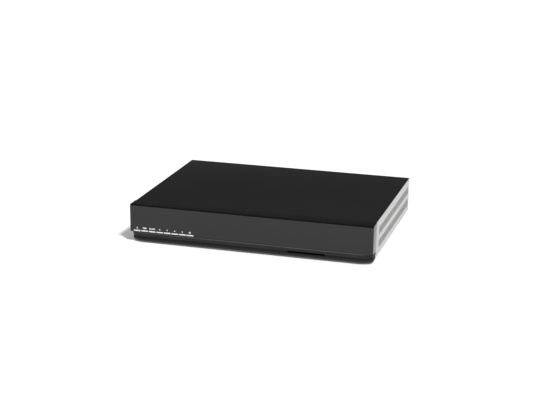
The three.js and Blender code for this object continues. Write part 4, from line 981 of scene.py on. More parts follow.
body_low = (left, plate_front - transistor_deep, base)
body_high = (right, plate_front - fit, base + transistor_high)
transistor = block("transistor", body_low, body_high, 2 * fit)
tab = block("tab", (left, plate_front - 6 * fit, base), (right, plate_front, base + transistor_tab), fit)
leg_y = plate_front - transistor_deep / 2 + leg_width / 2
legs = [
    brick("leg", middle.x + i * 2 * leg_pitch, leg_y, 1.2 * leg_pitch, leg_width, board_top, base)
    for i in (-1, 0, 1)
]
fixing_radius = 2 * fit + screw_shank
profile = [(0, 0), (fixing_radius, 0), (fixing_radius, -6 * fit), (screw_shank, -8 * fit), (0, -8 * fit)]
stud_place = (middle.x, plate_front - 6 * fit, base + (transistor_high + transistor_tab) / 2)
stud = turned("stud", profile, stud_place, "y")
coated(milled_aluminium, plate, plate_foot)
coated(chip_resin, transistor)
coated(bright_tin, tab, *legs, stud)
folded_sink = welded("folded_sink", plate, plate_foot, transistor, tab, *legs, stud)
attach(folded_sink, "casing")
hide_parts("power_heat_sink")

# Mains inlet: a black moulded well for a figure-of-eight plug, with two plated pins. It stands on the
# power board and shows through the rear panel.
inlet_well = 12 * mm
inlet_edge = 0.5 * mm
lobe_radius = 5.9 * mm
lobe_offset = 4.4 * mm
pin_radius = 1.1 * mm
pin_pitch = 8.6 * mm
pin_length = 9 * mm
moulded_black = grained(
    "moulded black",
    (0.012, 0.012, 0.0125),
    (0.017, 0.017, 0.0175),
    70,
    3200,
    0.42,
    0.58,
    0.012,
    Specular_IOR_Level=0.4,
)


def face_outline(low, high, margin, radius, steps=steps_in_a_bend):
    """The outline of a box seen from the rear, wider all round by the margin, with round corners."""
    return rounded(low.x - margin, high.x + margin, low.z - margin, high.z + margin, radius, steps)


low, high, middle = box_of("mains_inlet")
inlet_body = softened(
    run("inlet_body", face_outline(low, high, 0, 2 * inlet_edge), "y", low.y, high.y), inlet_edge, 3
)
waist = math.degrees(math.pi - math.acos(lobe_offset / lobe_radius))
figure = arc(middle.x + lobe_offset, middle.z, lobe_radius, -waist, waist, 22)
figure += arc(middle.x - lobe_offset, middle.z, lobe_radius, 180 - waist, 180 + waist, 22)[1:-1]
well_floor = high.y - inlet_well
cut_away(inlet_body, run("well", figure, "y", well_floor, high.y + overrun))
softened(inlet_body, fit, 2, 60)
pin_end = pin_length - pin_radius
profile = [(0, -overrun), (pin_radius, -overrun), *arc(0, pin_end, pin_radius, 0, 67.5, 3), (0, pin_length)]
pins = [
    turned("pin", profile, (middle.x + side * pin_pitch / 2, well_floor, middle.z), "y", 20)
    for side in (-1, 1)
]
coated(moulded_black, inlet_body)
coated(bright_tin, *pins)
mains_well = welded("mains_well", inlet_body, *pins)
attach(mains_well, "casing")
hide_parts("mains_inlet")

# Rocker switch: a black frame that snaps into the rear panel, and the rocker on its cross pin. The two
# faces of the rocker carry the plain bar and ring of a mains switch.
flange_margin = 1.6 * mm
flange_edge = 0.6 * mm
switch_wall = 1.8 * mm
pivot_radius = 1.2 * mm
rocker_rise = 6.3 * mm
rocker_back = 2.4 * mm
rocker_reach = 4 * mm
rocker_edge = 0.3 * mm
rocker_tilt = math.radians(9)
mark_height = 2.8 * mm
mark_line = 0.4 * mm
panel_low, panel_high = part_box("rear_panel")
panel_inner = panel_low.y
panel_outer = panel_high.y
housing_low, housing_high, middle = box_of("rocker_housing")
outline = face_outline(housing_low, housing_high, 0, 2 * flange_edge)
switch_flange = softened(
    run("switch_flange", outline, "y", panel_outer + fit, housing_high.y), flange_edge, 3
)
outline = face_outline(housing_low, housing_high, -flange_margin, flange_edge)
switch_neck = run("switch_neck", outline, "y", housing_low.y, panel_outer + 2 * fit)
well_inset = flange_margin + switch_wall
outline = face_outline(housing_low, housing_high, -well_inset, flange_edge / 2)
cut_away(switch_neck, run("switch_well", outline, "y", housing_low.y + switch_wall, panel_outer + 3 * fit))
cut_away(switch_flange, run("switch_well", outline, "y", panel_outer, housing_high.y + overrun))
switch_frame = coated(moulded_black, welded("switch_frame", switch_flange, switch_neck))
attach(switch_frame, "casing")
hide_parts("rocker_housing")


def cell(u, v, wide, tall):
    """The outline of a rectangle round its middle."""
    return square(u - wide / 2, u + wide / 2, v - tall / 2, v + tall / 2)


rocker_low, rocker_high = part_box("power_rocker")
rocker_half = middle.x - housing_low.x - well_inset - 2 * fit
pin_half = (rocker_high.x - rocker_low.x) / 2
dip = flange_margin + fit
slope = math.atan2(rocker_reach - dip, rocker_rise - rocker_edge)
outline = [
    (-rocker_back, -rocker_edge), (0, -rocker_rise), (rocker_reach, -rocker_rise), (dip, -rocker_edge)
]
outline += [(u, -v) for u, v in reversed(outline)]
rocker_body = softened(run("rocker_body", outline, "x", -rocker_half, rocker_half), rocker_edge, 3, 20)
cross_pin = turned("cross_pin", square(0, pivot_radius, -pin_half, pin_half), (0, 0, 0), "x")
white_mark = grained("white mark", (0.78, 0.78, 0.77), (0.84, 0.84, 0.83), 900, 6000, 0.4, 0.6, 0.002)
bar_mark = run("bar_mark", cell(0, 0, mark_line, mark_height), "y", -fit, fit / 6)
profile = square(mark_height / 2 - mark_line, mark_height / 2, -fit, fit / 6)
ring_mark = turned("ring_mark", profile, (0, 0, 0), "y", 32)
for mark, way in ((bar_mark, -1), (ring_mark, 1)):
    mark_place = Matrix.Translation((0, (dip + rocker_reach) / 2, way * (rocker_rise + rocker_edge) / 2))
    mark.data.transform(mark_place @ Matrix.Rotation(-way * slope, 4, "X"))
coated(moulded_black, rocker_body, cross_pin)
coated(white_mark, bar_mark, ring_mark)
rocker = welded("rocker", rocker_body, cross_pin, bar_mark, ring_mark)
pivot = Vector((middle.x, panel_outer - pivot_radius, middle.z))
rocker.data.transform(Matrix.Translation(pivot) @ Matrix.Rotation(rocker_tilt, 4, "X"))
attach(rocker, "rocker")
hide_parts("power_rocker")

# Tuner: a tinplate can whose lid grips over its rim, with two threaded aerial connectors that reach
# through the rear panel. A washer and a nut clamp each to the panel.
lid_skirt = 3 * mm
lid_lap = 0.3 * mm
lid_hole = 1.3 * mm
lid_hole_pitch = 5 * mm
aerial_spacing = 24 * mm
aerial_radius = 4.8 * mm
aerial_thread = 0.8 * mm
aerial_root = 0.42 * mm
aerial_rim = 1 * mm
aerial_bore = 1.2 * mm
insulator_depth = 0.9 * mm
nut_reach = 6.4 * mm
nut_thickness = 2 * mm
washer_reach = 6.2 * mm
nickel_plate = grained(
    "nickel plate", (0.66, 0.63, 0.57), (0.74, 0.71, 0.65), 200, 1800, 0.16, 0.28, 0.003, Metallic=1
)
insulator_white = grained(
    "white insulator", (0.76, 0.76, 0.73), (0.82, 0.82, 0.79), 300, 2500, 0.35, 0.5, 0.006
)
tuner_low, tuner_high, tuner_middle = box_of("tuner_module")
can_rear = panel_inner - fit
can_front = can_rear - tuner_can_depth
low = (tuner_low.x + lid_lap, can_front + lid_lap, tuner_low.z)
high = (tuner_high.x - lid_lap, can_rear - lid_lap, tuner_high.z - lid_lap)
tuner_can = block("tuner_can", low, high, lid_lap)
low = (tuner_low.x, can_front, tuner_high.z - lid_skirt)
tuner_lid = block("tuner_lid", low, (tuner_high.x, can_rear, tuner_high.z), lid_lap)
punches = []
for row in range(4):
    for column in range(8):
        x = tuner_middle.x + (column - 3.5) * lid_hole_pitch
        y = can_rear - tuner_can_depth / 2 + (row - 1.5) * lid_hole_pitch
        ends = (tuner_high.z - lid_skirt / 2, tuner_high.z + overrun)
        punches.append(run("hole", circle(x, y, lid_hole, 16), "z", *ends))
cut_away(tuner_lid, *punches)
tuner_parts = [coated(bright_tin, tuner_can), coated(bright_tin, tuner_lid)]
reach = tuner_high.y - can_rear
thread_root = aerial_radius - aerial_root
rim = aerial_radius - aerial_rim
turns_of_thread = int((reach * 0.65 - aerial_rim) / aerial_thread)
barrel_profile = [(0, -overrun), (aerial_radius, -overrun), (aerial_radius, reach * 0.35)]
for i in range(turns_of_thread):
    start = reach - aerial_rim / 2 - (turns_of_thread - i) * aerial_thread
    crest = (start + aerial_thread * 0.45, start + aerial_thread * 0.6)
    barrel_profile += [(thread_root, start), (aerial_radius, crest[0]), (aerial_radius, crest[1])]
barrel_profile += [(thread_root, reach - aerial_rim / 3), (thread_root - fit, reach), (rim, reach)]
barrel_profile += [(rim, reach - insulator_depth), (0, reach - insulator_depth)]
face = reach - insulator_depth / 2
insulator_profile = [
    (aerial_bore, reach - 4 * insulator_depth), (rim - fit / 4, reach - 1.5 * insulator_depth)
]
insulator_profile += [(rim - fit / 4, face), (aerial_bore + fit, face), (aerial_bore, face - fit)]
near, far = reach - insulator_depth * 0.95, reach - insulator_depth * 0.7
contact_profile = [(aerial_bore * 0.3, near), (aerial_bore * 0.8, near), (aerial_bore * 0.8, far)]
contact_profile += [(aerial_bore * 0.5, far)]
washer_profile = square(aerial_radius, washer_reach, 0, fit)
for side in (-1, 1):
    centre = Vector((tuner_middle.x + side * aerial_spacing / 2, can_rear, tuner_middle.z))
    barrel = turned("barrel", barrel_profile, centre, "y", 40)
    insulator = turned("insulator", insulator_profile, centre, "y", 32)
    spring_contact = turned("contact", contact_profile, centre, "y", 16)
    nut = run(
        "nut", circle(centre.x, centre.z, nut_reach, 6), "y", panel_outer + fit,
        panel_outer + fit + nut_thickness,
    )
    softened(nut, 2 * fit)
    washer = turned("washer", washer_profile, (centre.x, panel_outer, centre.z), "y", 40)
    coated(nickel_plate, barrel, nut)
    coated(zinc_plate, washer)
    coated(insulator_white, insulator)
    coated(gold_plate, spring_contact)
    tuner_parts += [barrel, insulator, spring_contact, nut, washer]
tuner = welded("tuner", *tuner_parts)
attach(tuner, "casing")
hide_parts("tuner_module")

# Optical socket: a black square moulding with clipped corners at its mouth, and the lens of the lamp
# on a boss at the end of its well.
socket_edge = 0.35 * mm
socket_wall = 1.6 * mm
mouth_lead = 0.45 * mm
clip_corner = 1.9 * mm
lens_radius = 1.5 * mm
lens_boss = 3 * mm
contact_width = 0.36 * mm
contact_relief = 0.12 * mm
dark_lens = grained(
    "dark lens", (0.05, 0.004, 0.006), (0.07, 0.006, 0.008), 300, 300, 0.04, 0.08, 0.001, Coat_Weight=1
)


def mouth(body, outline, floor, rear, lead):
    """The body is hollowed to the floor, and its mouth widens by the lead, as a plug is led in."""
    middle_u = sum(u for u, v in outline) / len(outline)
    middle_v = sum(v for u, v in outline) / len(outline)
    wider_u = 1 + lead / max(abs(u - middle_u) for u, v in outline)
    wider_v = 1 + lead / max(abs(v - middle_v) for u, v in outline)
    wider = [(middle_u + (u - middle_u) * wider_u, middle_v + (v - middle_v) * wider_v) for u, v in outline]
    steps = ((outline, floor), (outline, rear - lead), (wider, rear), (wider, rear + lead / 2))
    return cut_away(body, skinned("well", [[(u, y, v) for u, v in points] for points, y in steps]))


def socket(node, finish, left_side, lead=mouth_lead):
    """The body of a socket with its mouth. left_side are the points of the mouth's left side from the
    top down, seen from the rear and measured from the middle. The right side is like it."""
    low, high, middle = box_of(node)
    body = run(node, face_outline(low, high, 0, 2 * socket_edge, 4), "y", low.y, high.y)
    outline = left_side + [(-u, v) for u, v in reversed(left_side)]
    outline = [(middle.x + u, middle.z + v) for u, v in outline]
    return mouth(
        coated(finish, softened(body, socket_edge)), outline, low.y + 2 * socket_wall, high.y, lead
    )


low, high, middle = box_of("optical_socket")
half = middle.x - low.x - socket_wall
clipped_side = [(clip_corner - half, half), (-half, half - clip_corner), (-half, -half)]
optical_body = socket("optical_socket", moulded_black, clipped_side)
well_end = (middle.x, low.y + 2 * socket_wall, middle.z)
profile = [(0, -fit), (2 * lens_radius, -fit), (1.6 * lens_radius, lens_boss), (0, lens_boss)]
boss = coated(moulded_black, turned("boss", profile, well_end, "y"))
profile = [(0, lens_boss - fit), (lens_radius, lens_boss - fit), (lens_radius, lens_boss + fit)]
profile += [(lens_radius * 0.8, lens_boss + 2.5 * fit), (lens_radius * 0.4, lens_boss + 3.5 * fit)]
profile += [(0, lens_boss + 4 * fit)]
lamp_lens = coated(dark_lens, turned("lens", profile, well_end, "y"))
optical = welded("optical", optical_body, boss, lamp_lens)
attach(optical, "casing")
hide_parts("optical_socket")

# Phono sockets: a black block with three nickel-plated barrels. Each barrel stands in a coloured collar
# outside the rear panel, yellow for video, white and red for sound.
collar_radius = 5.3 * mm
collar_thickness = 0.8 * mm
phono_radius = 4.2 * mm
phono_wall = 0.75 * mm
phono_bore = 1.7 * mm
collar_colours = (
    ("red insulator", (0.5, 0.012, 0.01), (0.58, 0.02, 0.016)),
    ("white insulator ring", (0.78, 0.78, 0.76), (0.84, 0.84, 0.82)),
    ("yellow insulator", (0.8, 0.5, 0.01), (0.86, 0.57, 0.02)),
)
phono_low, phono_high, middle = box_of("phono_sockets")
phono_rear = panel_inner - fit
phono_block = block("phono_block", phono_low, (phono_high.x, phono_rear, phono_high.z), socket_edge)
phono_parts = [coated(moulded_black, phono_block)]
phono_pitch = (phono_high.z - phono_low.z) / len(collar_colours)
phono_centres = [
    Vector((middle.x, phono_rear, phono_low.z + (row + 0.5) * phono_pitch)) for row in range(3)
]
reach = phono_high.y - phono_rear
inner = phono_radius - phono_wall
near = panel_outer - phono_rear
far = near + collar_thickness
collar_profile = [(phono_radius - fit, near), (collar_radius - fit, near), (collar_radius, near + fit)]
collar_profile += [
    (collar_radius, far - 1.5 * fit), (collar_radius - 1.5 * fit, far), (phono_radius - fit, far)
]
barrel_profile = [
    (inner, fit), (phono_radius, fit), (phono_radius, reach - 2 * fit), (phono_radius - 2 * fit, reach)
]
barrel_profile += [(inner + fit, reach), (inner, reach - fit)]
core_profile = [(phono_bore, fit), (inner, fit), (inner, reach - 5 * fit), (inner - fit, reach - 4 * fit)]
core_profile += [(phono_bore + 2 * fit, reach - 4 * fit), (phono_bore, reach - 6 * fit)]
contact_profile = square(phono_bore - fit, phono_bore, 2 * fit, reach - 12 * fit)
for centre, (name, base, shift) in zip(phono_centres, collar_colours):
    collar = turned("collar", collar_profile, centre, "y", 48)
    barrel = turned("barrel", barrel_profile, centre, "y", 48)
    core = turned("core", core_profile, centre, "y", 40)
    spring_contact = turned("spring_contact", contact_profile, centre, "y")
    coated(grained(name, base, shift, 300, 2500, 0.3, 0.42, 0.005), collar, core)
    coated(nickel_plate, barrel)
    coated(gold_plate, spring_contact)
    phono_parts += [collar, barrel, core, spring_contact]
phono = welded("phono", *phono_parts)
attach(phono, "casing")
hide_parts("phono_sockets")

# Digital video socket: a folded plated shell with a flared mouth whose lower corners are clipped, and a
# thin black tongue with gold contacts on both faces.
tongue_thickness = 1.1 * mm
tongue_half = 5 * mm
tongue_setback = 1.5 * mm
video_contacts = 10
video_pitch = 0.9 * mm
low, high, middle = box_of("hdmi_socket")
half = middle.x - low.x - socket_wall
rise = middle.z - low.z - socket_wall
clipped_side = [(-half, rise), (-half, -rise * 0.3), (clip_corner * 0.8 - half, -rise)]
video_body = socket("hdmi_socket", nickel_plate, clipped_side)
tongue_low = (middle.x - tongue_half, low.y + socket_wall, middle.z - tongue_thickness / 2)
tongue_high = (middle.x + tongue_half, high.y - tongue_setback, middle.z + tongue_thickness / 2)
tongue = coated(moulded_black, block("tongue", tongue_low, tongue_high, fit))
contact_wide = contact_width / 2
contacts = []
for way in (-1, 1):
    face = middle.z + way * tongue_thickness / 2
    near, far = sorted((face, face + way * contact_relief))
    for i in range(video_contacts):
        x = middle.x + (i - (video_contacts - 1) / 2) * video_pitch
        contact_high = (x + contact_wide, high.y - tongue_setback - 3 * fit, far)
        contacts.append(block("contact", (x - contact_wide, low.y + 2 * socket_wall, near), contact_high))
coated(gold_plate, *contacts)
video_socket = welded("video_socket", video_body, tongue, *contacts)
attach(video_socket, "casing")
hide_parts("hdmi_socket")

# Data socket: a plated shell with two spring fingers above and below its mouth, and a white tongue that
# carries four contacts on its lower face.
finger_width = 1.7 * mm
finger_length = 5 * mm
finger_relief = 0.35 * mm
data_contacts = 4
data_pitch = 2.1 * mm
tongue_height = 1.8 * mm
low, high, middle = box_of("usb_socket")
half = middle.x - low.x - socket_wall
rise = middle.z - low.z - socket_wall
data_body = socket("usb_socket", nickel_plate, [(-half, rise), (-half, -rise)])
fingers = []
finger_front, finger_rear = high.y - finger_length - mouth_lead, high.y - 2 * mouth_lead
for way in (-1, 1):
    wall = middle.z + way * rise
    near, far = sorted((wall + way * fit, wall - way * finger_relief))
    for x in (middle.x - half / 2, middle.x + half / 2):
        left, right = x - finger_width / 2, x + finger_width / 2
        fingers.append(block("finger", (left, finger_front, near), (right, finger_rear, far), fit))
tongue_low = (middle.x - half + socket_wall, low.y + socket_wall, middle.z)
tongue_high = (middle.x + half - socket_wall, high.y - socket_wall - fit, middle.z + tongue_height)
data_tongue = block("data_tongue", tongue_low, tongue_high, 1.5 * fit)
contacts = []
near, far = middle.z - contact_relief, middle.z + contact_relief / 2
for i in range(data_contacts):
    x = middle.x + (i - (data_contacts - 1) / 2) * data_pitch
    contact_high = (x + contact_width, high.y - 2 * socket_wall, far)
    contacts.append(block("contact", (x - contact_width, low.y + 2 * socket_wall, near), contact_high))
coated(nickel_plate, *fingers)
coated(insulator_white, data_tongue)
coated(gold_plate, *contacts)
data_socket = welded("data_socket", data_body, *fingers, data_tongue, *contacts)
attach(data_socket, "casing")
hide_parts("usb_socket")

# Network socket: a tinplate shell round a stepped mouth, with the keyway of the plug's latch below, eight
# gold wires that slope back from the top, and a lamp window in each lower corner.
keyway_half = 3.1 * mm
latch_half = 1.7 * mm
keyway_height = 1.7 * mm
latch_height = 1.3 * mm
wire_pitch = 1.02 * mm
wire_thickness = 0.3 * mm
wire_length = 9 * mm
wire_drop = 4.6 * mm
window_size = 1.9 * mm
window_colours = (
    (-1, "amber window", (0.75, 0.36, 0.02), (0.8, 0.42, 0.04)),
    (1, "green window", (0.1, 0.45, 0.07), (0.14, 0.52, 0.1)),
)
low, high, middle = box_of("ethernet_socket")
half = middle.x - low.x - socket_wall - 2 * fit
top = high.z - socket_wall
shelf = low.z + socket_wall + keyway_height + latch_height
step = shelf - keyway_height
stepped_side = [
    (-half, top), (-half, shelf), (-keyway_half, shelf), (-keyway_half, step), (-latch_half, step)
]
stepped_side += [(-latch_half, step - latch_height)]
stepped_side = [(u, v - middle.z) for u, v in stepped_side]
network_body = socket("ethernet_socket", bright_tin, stepped_side, mouth_lead / 2)
outline = square(middle.x - half, middle.x + half, shelf, top)
well_lining = run("well_lining", outline, "y", low.y + 2 * socket_wall - fit, low.y + 3 * socket_wall)
start = high.y - 2 * socket_wall
slope = [(start, top + fit), (start - wire_length, top - wire_drop)]
slope += [(start - wire_length, top - wire_drop - wire_thickness), (start + 2 * wire_thickness, top - fit)]
wires = []
for i in range(8):
    x = middle.x + (i - 3.5) * wire_pitch
    wires.append(run("wire", slope, "x", x - contact_width / 2, x + contact_width / 2))
windows = []
for side, name, base, shift in window_colours:
    x = middle.x + side * (half + keyway_half + fit) / 2
    window_low = (x - window_size * 0.7, high.y - socket_wall, shelf - 3 * fit - window_size)
    window = block("window", window_low, (x + window_size * 0.7, high.y - fit / 4, shelf - 3 * fit), fit)
    windows.append(coated(grained(name, base, shift, 400, 900, 0.12, 0.2, 0.003, Coat_Weight=0.6), window))
coated(moulded_black, well_lining)
coated(gold_plate, *wires)
network_socket = welded("network_socket", network_body, well_lining, *wires, *windows)
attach(network_socket, "casing")
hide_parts("ethernet_socket")

# Scart sockets: two black mouldings, one above the other. Each has a slanted well lined with a plated
# shield, and in it a block with two rows of ten slots. Tubular rivets hold it at both ends.
scart_slant = 5 * mm
scart_edge = 0.6 * mm
scart_floor = 3.2 * mm
shield_thickness = 0.35 * mm
groove_width = 1.5 * mm
scart_setback = 1.4 * mm
scart_slots = 10
scart_pitch = 3.6 * mm
slot_wide = 1.1 * mm
slot_tall = 3 * mm
slot_deep = 6 * mm
rivet_radius = 1.5 * mm
rivet_bore = 0.8 * mm
rivet_setback = 2.2 * mm


def slanted(low, high, inset):
    """The slanted outline of a scart well, drawn in by the inset."""
    left, right = low.x + scart_slant + inset, high.x - scart_slant - inset
    foot, top = low.z + scart_slant / 2 + inset, high.z - scart_slant / 2 - inset
    return [(left, foot), (right - scart_slant, foot), (right, top), (left, top)]


for place in ("lower", "upper"):
    low, high, middle = box_of(f"scart_socket_{place}")
    floor = low.y + scart_floor
    body = softened(
        run("body", face_outline(low, high, 0, scart_edge, 4), "y", low.y, high.y), scart_edge / 2
    )
    mouth(body, slanted(low, high, 0), floor, high.y, mouth_lead)
    shield = run("shield", slanted(low, high, fit / 4), "y", floor, high.y - scart_setback / 2)
    cut_away(
        shield, run("inside", slanted(low, high, shield_thickness), "y", floor + fit, high.y + overrun)
    )
    core_rear = high.y - scart_setback
    core = softened(run("core", slanted(low, high, groove_width), "y", floor, core_rear), 1.5 * fit)
    slots = []
    for row in (-1, 1):
        z = middle.z + row * (slot_tall / 2 + 2 * fit)
        row_middle = middle.x - scart_slant / 2 + row * scart_pitch / 4
        for i in range(scart_slots):
            outline = cell(row_middle + (i - (scart_slots - 1) / 2) * scart_pitch, z, slot_wide, slot_tall)
            slots.append(run("slot", outline, "y", core_rear - slot_deep, high.y + overrun))
    cut_away(core, *slots)
    profile = [
        (rivet_bore, -overrun),
        (rivet_radius, -overrun),
        (rivet_radius, -fit),
        (rivet_radius - fit, fit / 4),
    ]
    profile += [(rivet_bore + fit, fit / 4), (rivet_bore, -fit)]
    rivet_places = (low.x + rivet_setback, high.x - rivet_setback)
    rivets = [turned("rivet", profile, (x, high.y - fit, middle.z), "y") for x in rivet_places]
    coated(moulded_black, body, core)
    coated(nickel_plate, shield, *rivets)
    scart = welded(f"scart_{place}", body, shield, core, *rivets)
    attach(scart, "casing")
    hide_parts(f"scart_socket_{place}")

# Fan: a black moulded frame with three struts to its motor mount, held to the rear panel by two screws.
# The rotor has seven curved blades that twist from hub to tip.
frame_corner = 3 * mm
frame_edge = 0.4 * mm
fan_bore = 18.8 * mm
fan_hole_reach = 16 * mm
fan_hole = 1.7 * mm
mount_thickness = 1.5 * mm
strut_width = 2.4 * mm
hub_radius = 10.8 * mm
hub_round = 1.6 * mm
blade_tip = 17.7 * mm
blade_count = 7
blade_thickness = 1 * mm
blade_camber = 1.3 * mm
root_pitch = math.radians(48)
tip_pitch = math.radians(33)
fan_low, fan_high, fan_centre = box_of("fan_frame")
fan_frame = run("fan_frame", face_outline(fan_low, fan_high, 0, frame_corner), "y", fan_low.y, fan_high.y)
softened(fan_frame, frame_edge)
outlines = [circle(fan_centre.x, fan_centre.z, fan_bore, 72)]
for x in (fan_centre.x - fan_hole_reach, fan_centre.x + fan_hole_reach):
    for z in (fan_centre.z - fan_hole_reach, fan_centre.z + fan_hole_reach):
        outlines.append(circle(x, z, fan_hole))
holes = [run("hole", outline, "y", fan_low.y - overrun, fan_high.y + overrun) for outline in outlines]
cut_away(fan_frame, *holes)
mount_front = fan_high.y - mount_thickness
struts = []
for i in range(3):
    turn = math.radians(120 * i)
    across = Vector((math.cos(turn), -math.sin(turn))) * strut_width / 2
    outward = Vector((math.sin(turn), math.cos(turn)))
    corners = ((-1, hub_radius - fit), (1, hub_radius - fit), (1, fan_bore + fit), (-1, fan_bore + fit))
    outline = [Vector((fan_centre.x, fan_centre.z)) + u * across + reach * outward for u, reach in corners]
    struts.append(softened(run("strut", outline, "y", mount_front, fan_high.y), frame_edge / 2))
step = mount_thickness - frame_edge
profile = [(0, 0), (hub_radius, 0), (hub_radius, step), (hub_radius - frame_edge, mount_thickness)]
profile += [
    (hub_radius - 2 * frame_edge, mount_thickness), (hub_radius - 2.5 * frame_edge, step), (0, step)
]
motor_mount = turned("motor_mount", profile, (fan_centre.x, mount_front, fan_centre.z), "y", 48)
moulded_fan_frame = coated(moulded_black, welded("moulded_fan_frame", fan_frame, *struts, motor_mount))
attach(moulded_fan_frame, "casing")
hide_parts("fan_frame")
rotor_low, rotor_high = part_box("fan_rotor")
rotor_depth = rotor_high.y - rotor_low.y
chord = rotor_depth - 2 * blade_thickness
profile = [(0, fit), (hub_radius * 0.35, fit), (hub_radius * 0.35, 0)]
profile += [
    *arc(hub_radius - hub_round, hub_round, hub_round, -90, 0, 5),
    (hub_radius, rotor_depth),
    (0, rotor_depth),
]
hub = turned("hub", profile, (fan_centre.x, rotor_low.y, fan_centre.z), "y", 48)
section = [(1, k / 8) for k in range(9)] + [(-1, k / 8) for k in range(7, 0, -1)]
blades = []
for i in range(blade_count):
    rings = []
    for step in range(8):
        share = step / 7
        radius = hub_radius - fit + (blade_tip - hub_radius + fit) * share
        pitch = root_pitch + (tip_pitch - root_pitch) * share
        ring = []
        for way, along in section:
            around = way * blade_thickness / 2 * math.sqrt(max(4 * along * (1 - along), 0.02))
            around += (along - 0.5) * chord / math.tan(pitch) + blade_camber * math.sin(math.pi * along)
            turn = 2 * math.pi * i / blade_count + around / radius
            x, z = fan_centre.x + radius * math.sin(turn), fan_centre.z + radius * math.cos(turn)
            ring.append((x, rotor_low.y + blade_thickness + along * chord, z))
        rings.append(ring)
    blades.append(skinned("blade", rings))
impeller = coated(moulded_black, welded("impeller", hub, *blades))
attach(impeller, "fan_impeller")
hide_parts("fan_rotor")

# Disk bracket: a bench folded from tinplate that carries the hard disk over the tray's floor. Air rises
# through the hole in its middle, and a foot along its right side lies on the floor.
bracket_gauge = 1.2 * mm
bracket_bend = 0.9 * mm
bracket_foot = 10 * mm
bracket_hole_share = 0.26
bracket_hole_corner = 2 * mm
disk_screw_places = [box_of(f"disk_screw_{i}")[2] for i in (1, 2, 3, 4)]
low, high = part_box("disk_bracket")
wide_bend = bracket_bend + bracket_gauge
wall_x = high.x - bracket_foot
fold_z = high.z - wide_bend
left_fold = (low.x + wide_bend, fold_z)
right_fold = (wall_x - wide_bend, fold_z)
foot_fold = (wall_x + bracket_bend, low.z + wide_bend)
outline = [(low.x, low.z), *arc(*left_fold, wide_bend, 180, 90), *arc(*right_fold, wide_bend, 90, 0)]
outline += [*arc(*foot_fold, bracket_bend, 180, 270), (high.x, low.z + bracket_gauge), (high.x, low.z)]
outline += [*arc(*foot_fold, wide_bend, 270, 180), *arc(*right_fold, bracket_bend, 0, 90)]
outline += [*arc(*left_fold, bracket_bend, 90, 180), (low.x + bracket_gauge, low.z)]
bench_sheet = run("bench_sheet", outline, "y", low.y, high.y)
middle = Vector((low.x + wall_x, low.y + high.y)) / 2
half_x = bracket_hole_share * (wall_x - low.x) / 2
half_y = bracket_hole_share * (high.y - low.y) / 2
sides = (middle.x - half_x, middle.x + half_x, middle.y - half_y, middle.y + half_y)
outlines = [rounded(*sides, bracket_hole_corner)]
outlines += [circle(place.x, place.y, screw_clearance) for place in disk_screw_places]
cut_away(bench_sheet, *[run("punch", outline, "z", fold_z, high.z + overrun) for outline in outlines])
coated(bright_tin, bench_sheet)
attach(bench_sheet, "casing")
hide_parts("disk_bracket")

# Hard disk: a slim cast case with a pressed lid that follows the platter and is held by six sunk screws.
# The plug of its lead sits in the rear edge, and four screws come up through the bracket.
disk_plug = Vector((33, 5, 5)) * mm
disk_lid_step = 1 * mm
disk_lid_inset = 4.07 * mm
disk_lid_corner = 3 * mm
disk_edge = 0.6 * mm
disk_hole_depth = 4 * mm
platter_radius = 28 * mm
spindle_radius = 6 * mm
groove = 0.8 * mm
sunk_head = 1.5 * mm
cast_aluminium = grained(
    "cast aluminium", (0.36, 0.37, 0.38), (0.44, 0.45, 0.46), 40, 2200, 0.42, 0.6, 0.03, Metallic=0.9
)
disk_low, disk_high, disk_middle = box_of("hard_disk")
disk_rear = disk_high.y - disk_plug.y
lid_base = disk_high.z - disk_lid_step
case = block("case", disk_low, (disk_high.x, disk_rear, lid_base), disk_edge)
outlines = [circle(place.x, place.y, screw_clearance) for place in disk_screw_places]
hole_ends = (disk_low.z - overrun, disk_low.z + disk_hole_depth)
cut_away(case, *[run("hole", outline, "z", *hole_ends) for outline in outlines])
lid_left, lid_right = disk_low.x + disk_lid_inset, disk_high.x - disk_lid_inset
lid_front, lid_rear = disk_low.y + disk_lid_inset, disk_rear - disk_lid_inset
outline = rounded(lid_left, lid_right, lid_front, lid_rear, disk_lid_corner)
pressed_lid = softened(run("pressed_lid", outline, "z", lid_base - fit, disk_high.z), fit)
platter = Vector((disk_middle.x, lid_front + platter_radius + 2 * groove, disk_high.z))
grooves = []
for radius in (platter_radius, spindle_radius):
    profile = square(radius - groove, radius, -groove / 3, overrun)
    grooves.append(turned("groove", profile, platter, "z", 72))
profile = [
    (0, -3 * fit), (sunk_head, -3 * fit), (sunk_head, -1.2 * fit), (sunk_head - fit, -fit / 2),
    (0, -fit / 2),
]
hole_ends = (disk_high.z - 2 * fit, disk_high.z + overrun)
lid_screws = []
for x in (lid_left + 2 * sunk_head, lid_right - 2 * sunk_head):
    for share in (0.035, 0.62, 0.965):
        y = lid_front + (lid_rear - lid_front) * share
        grooves.append(run("countersink", circle(x, y, sunk_head + fit), "z", *hole_ends))
        head = turned("head", profile, (x, y, disk_high.z), "z", 20)
        lid_screws.append(cut_away(head, run("star", circle(x, y, sunk_head / 2, 6), "z", *hole_ends)))
cut_away(pressed_lid, *grooves)
plug_low = (disk_middle.x - disk_plug.x / 2, disk_rear - overrun, disk_low.z)
plug_high = (disk_middle.x + disk_plug.x / 2, disk_high.y, disk_low.z + disk_plug.z)
disk_plug_block = block("disk_plug_block", plug_low, plug_high, disk_edge / 2)
coated(cast_aluminium, case)
coated(milled_aluminium, pressed_lid)
coated(bright_tin, *lid_screws)
coated(moulded_black, disk_plug_block)
disk = welded("disk", case, pressed_lid, *lid_screws, disk_plug_block)
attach(disk, "casing")
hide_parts("hard_disk")
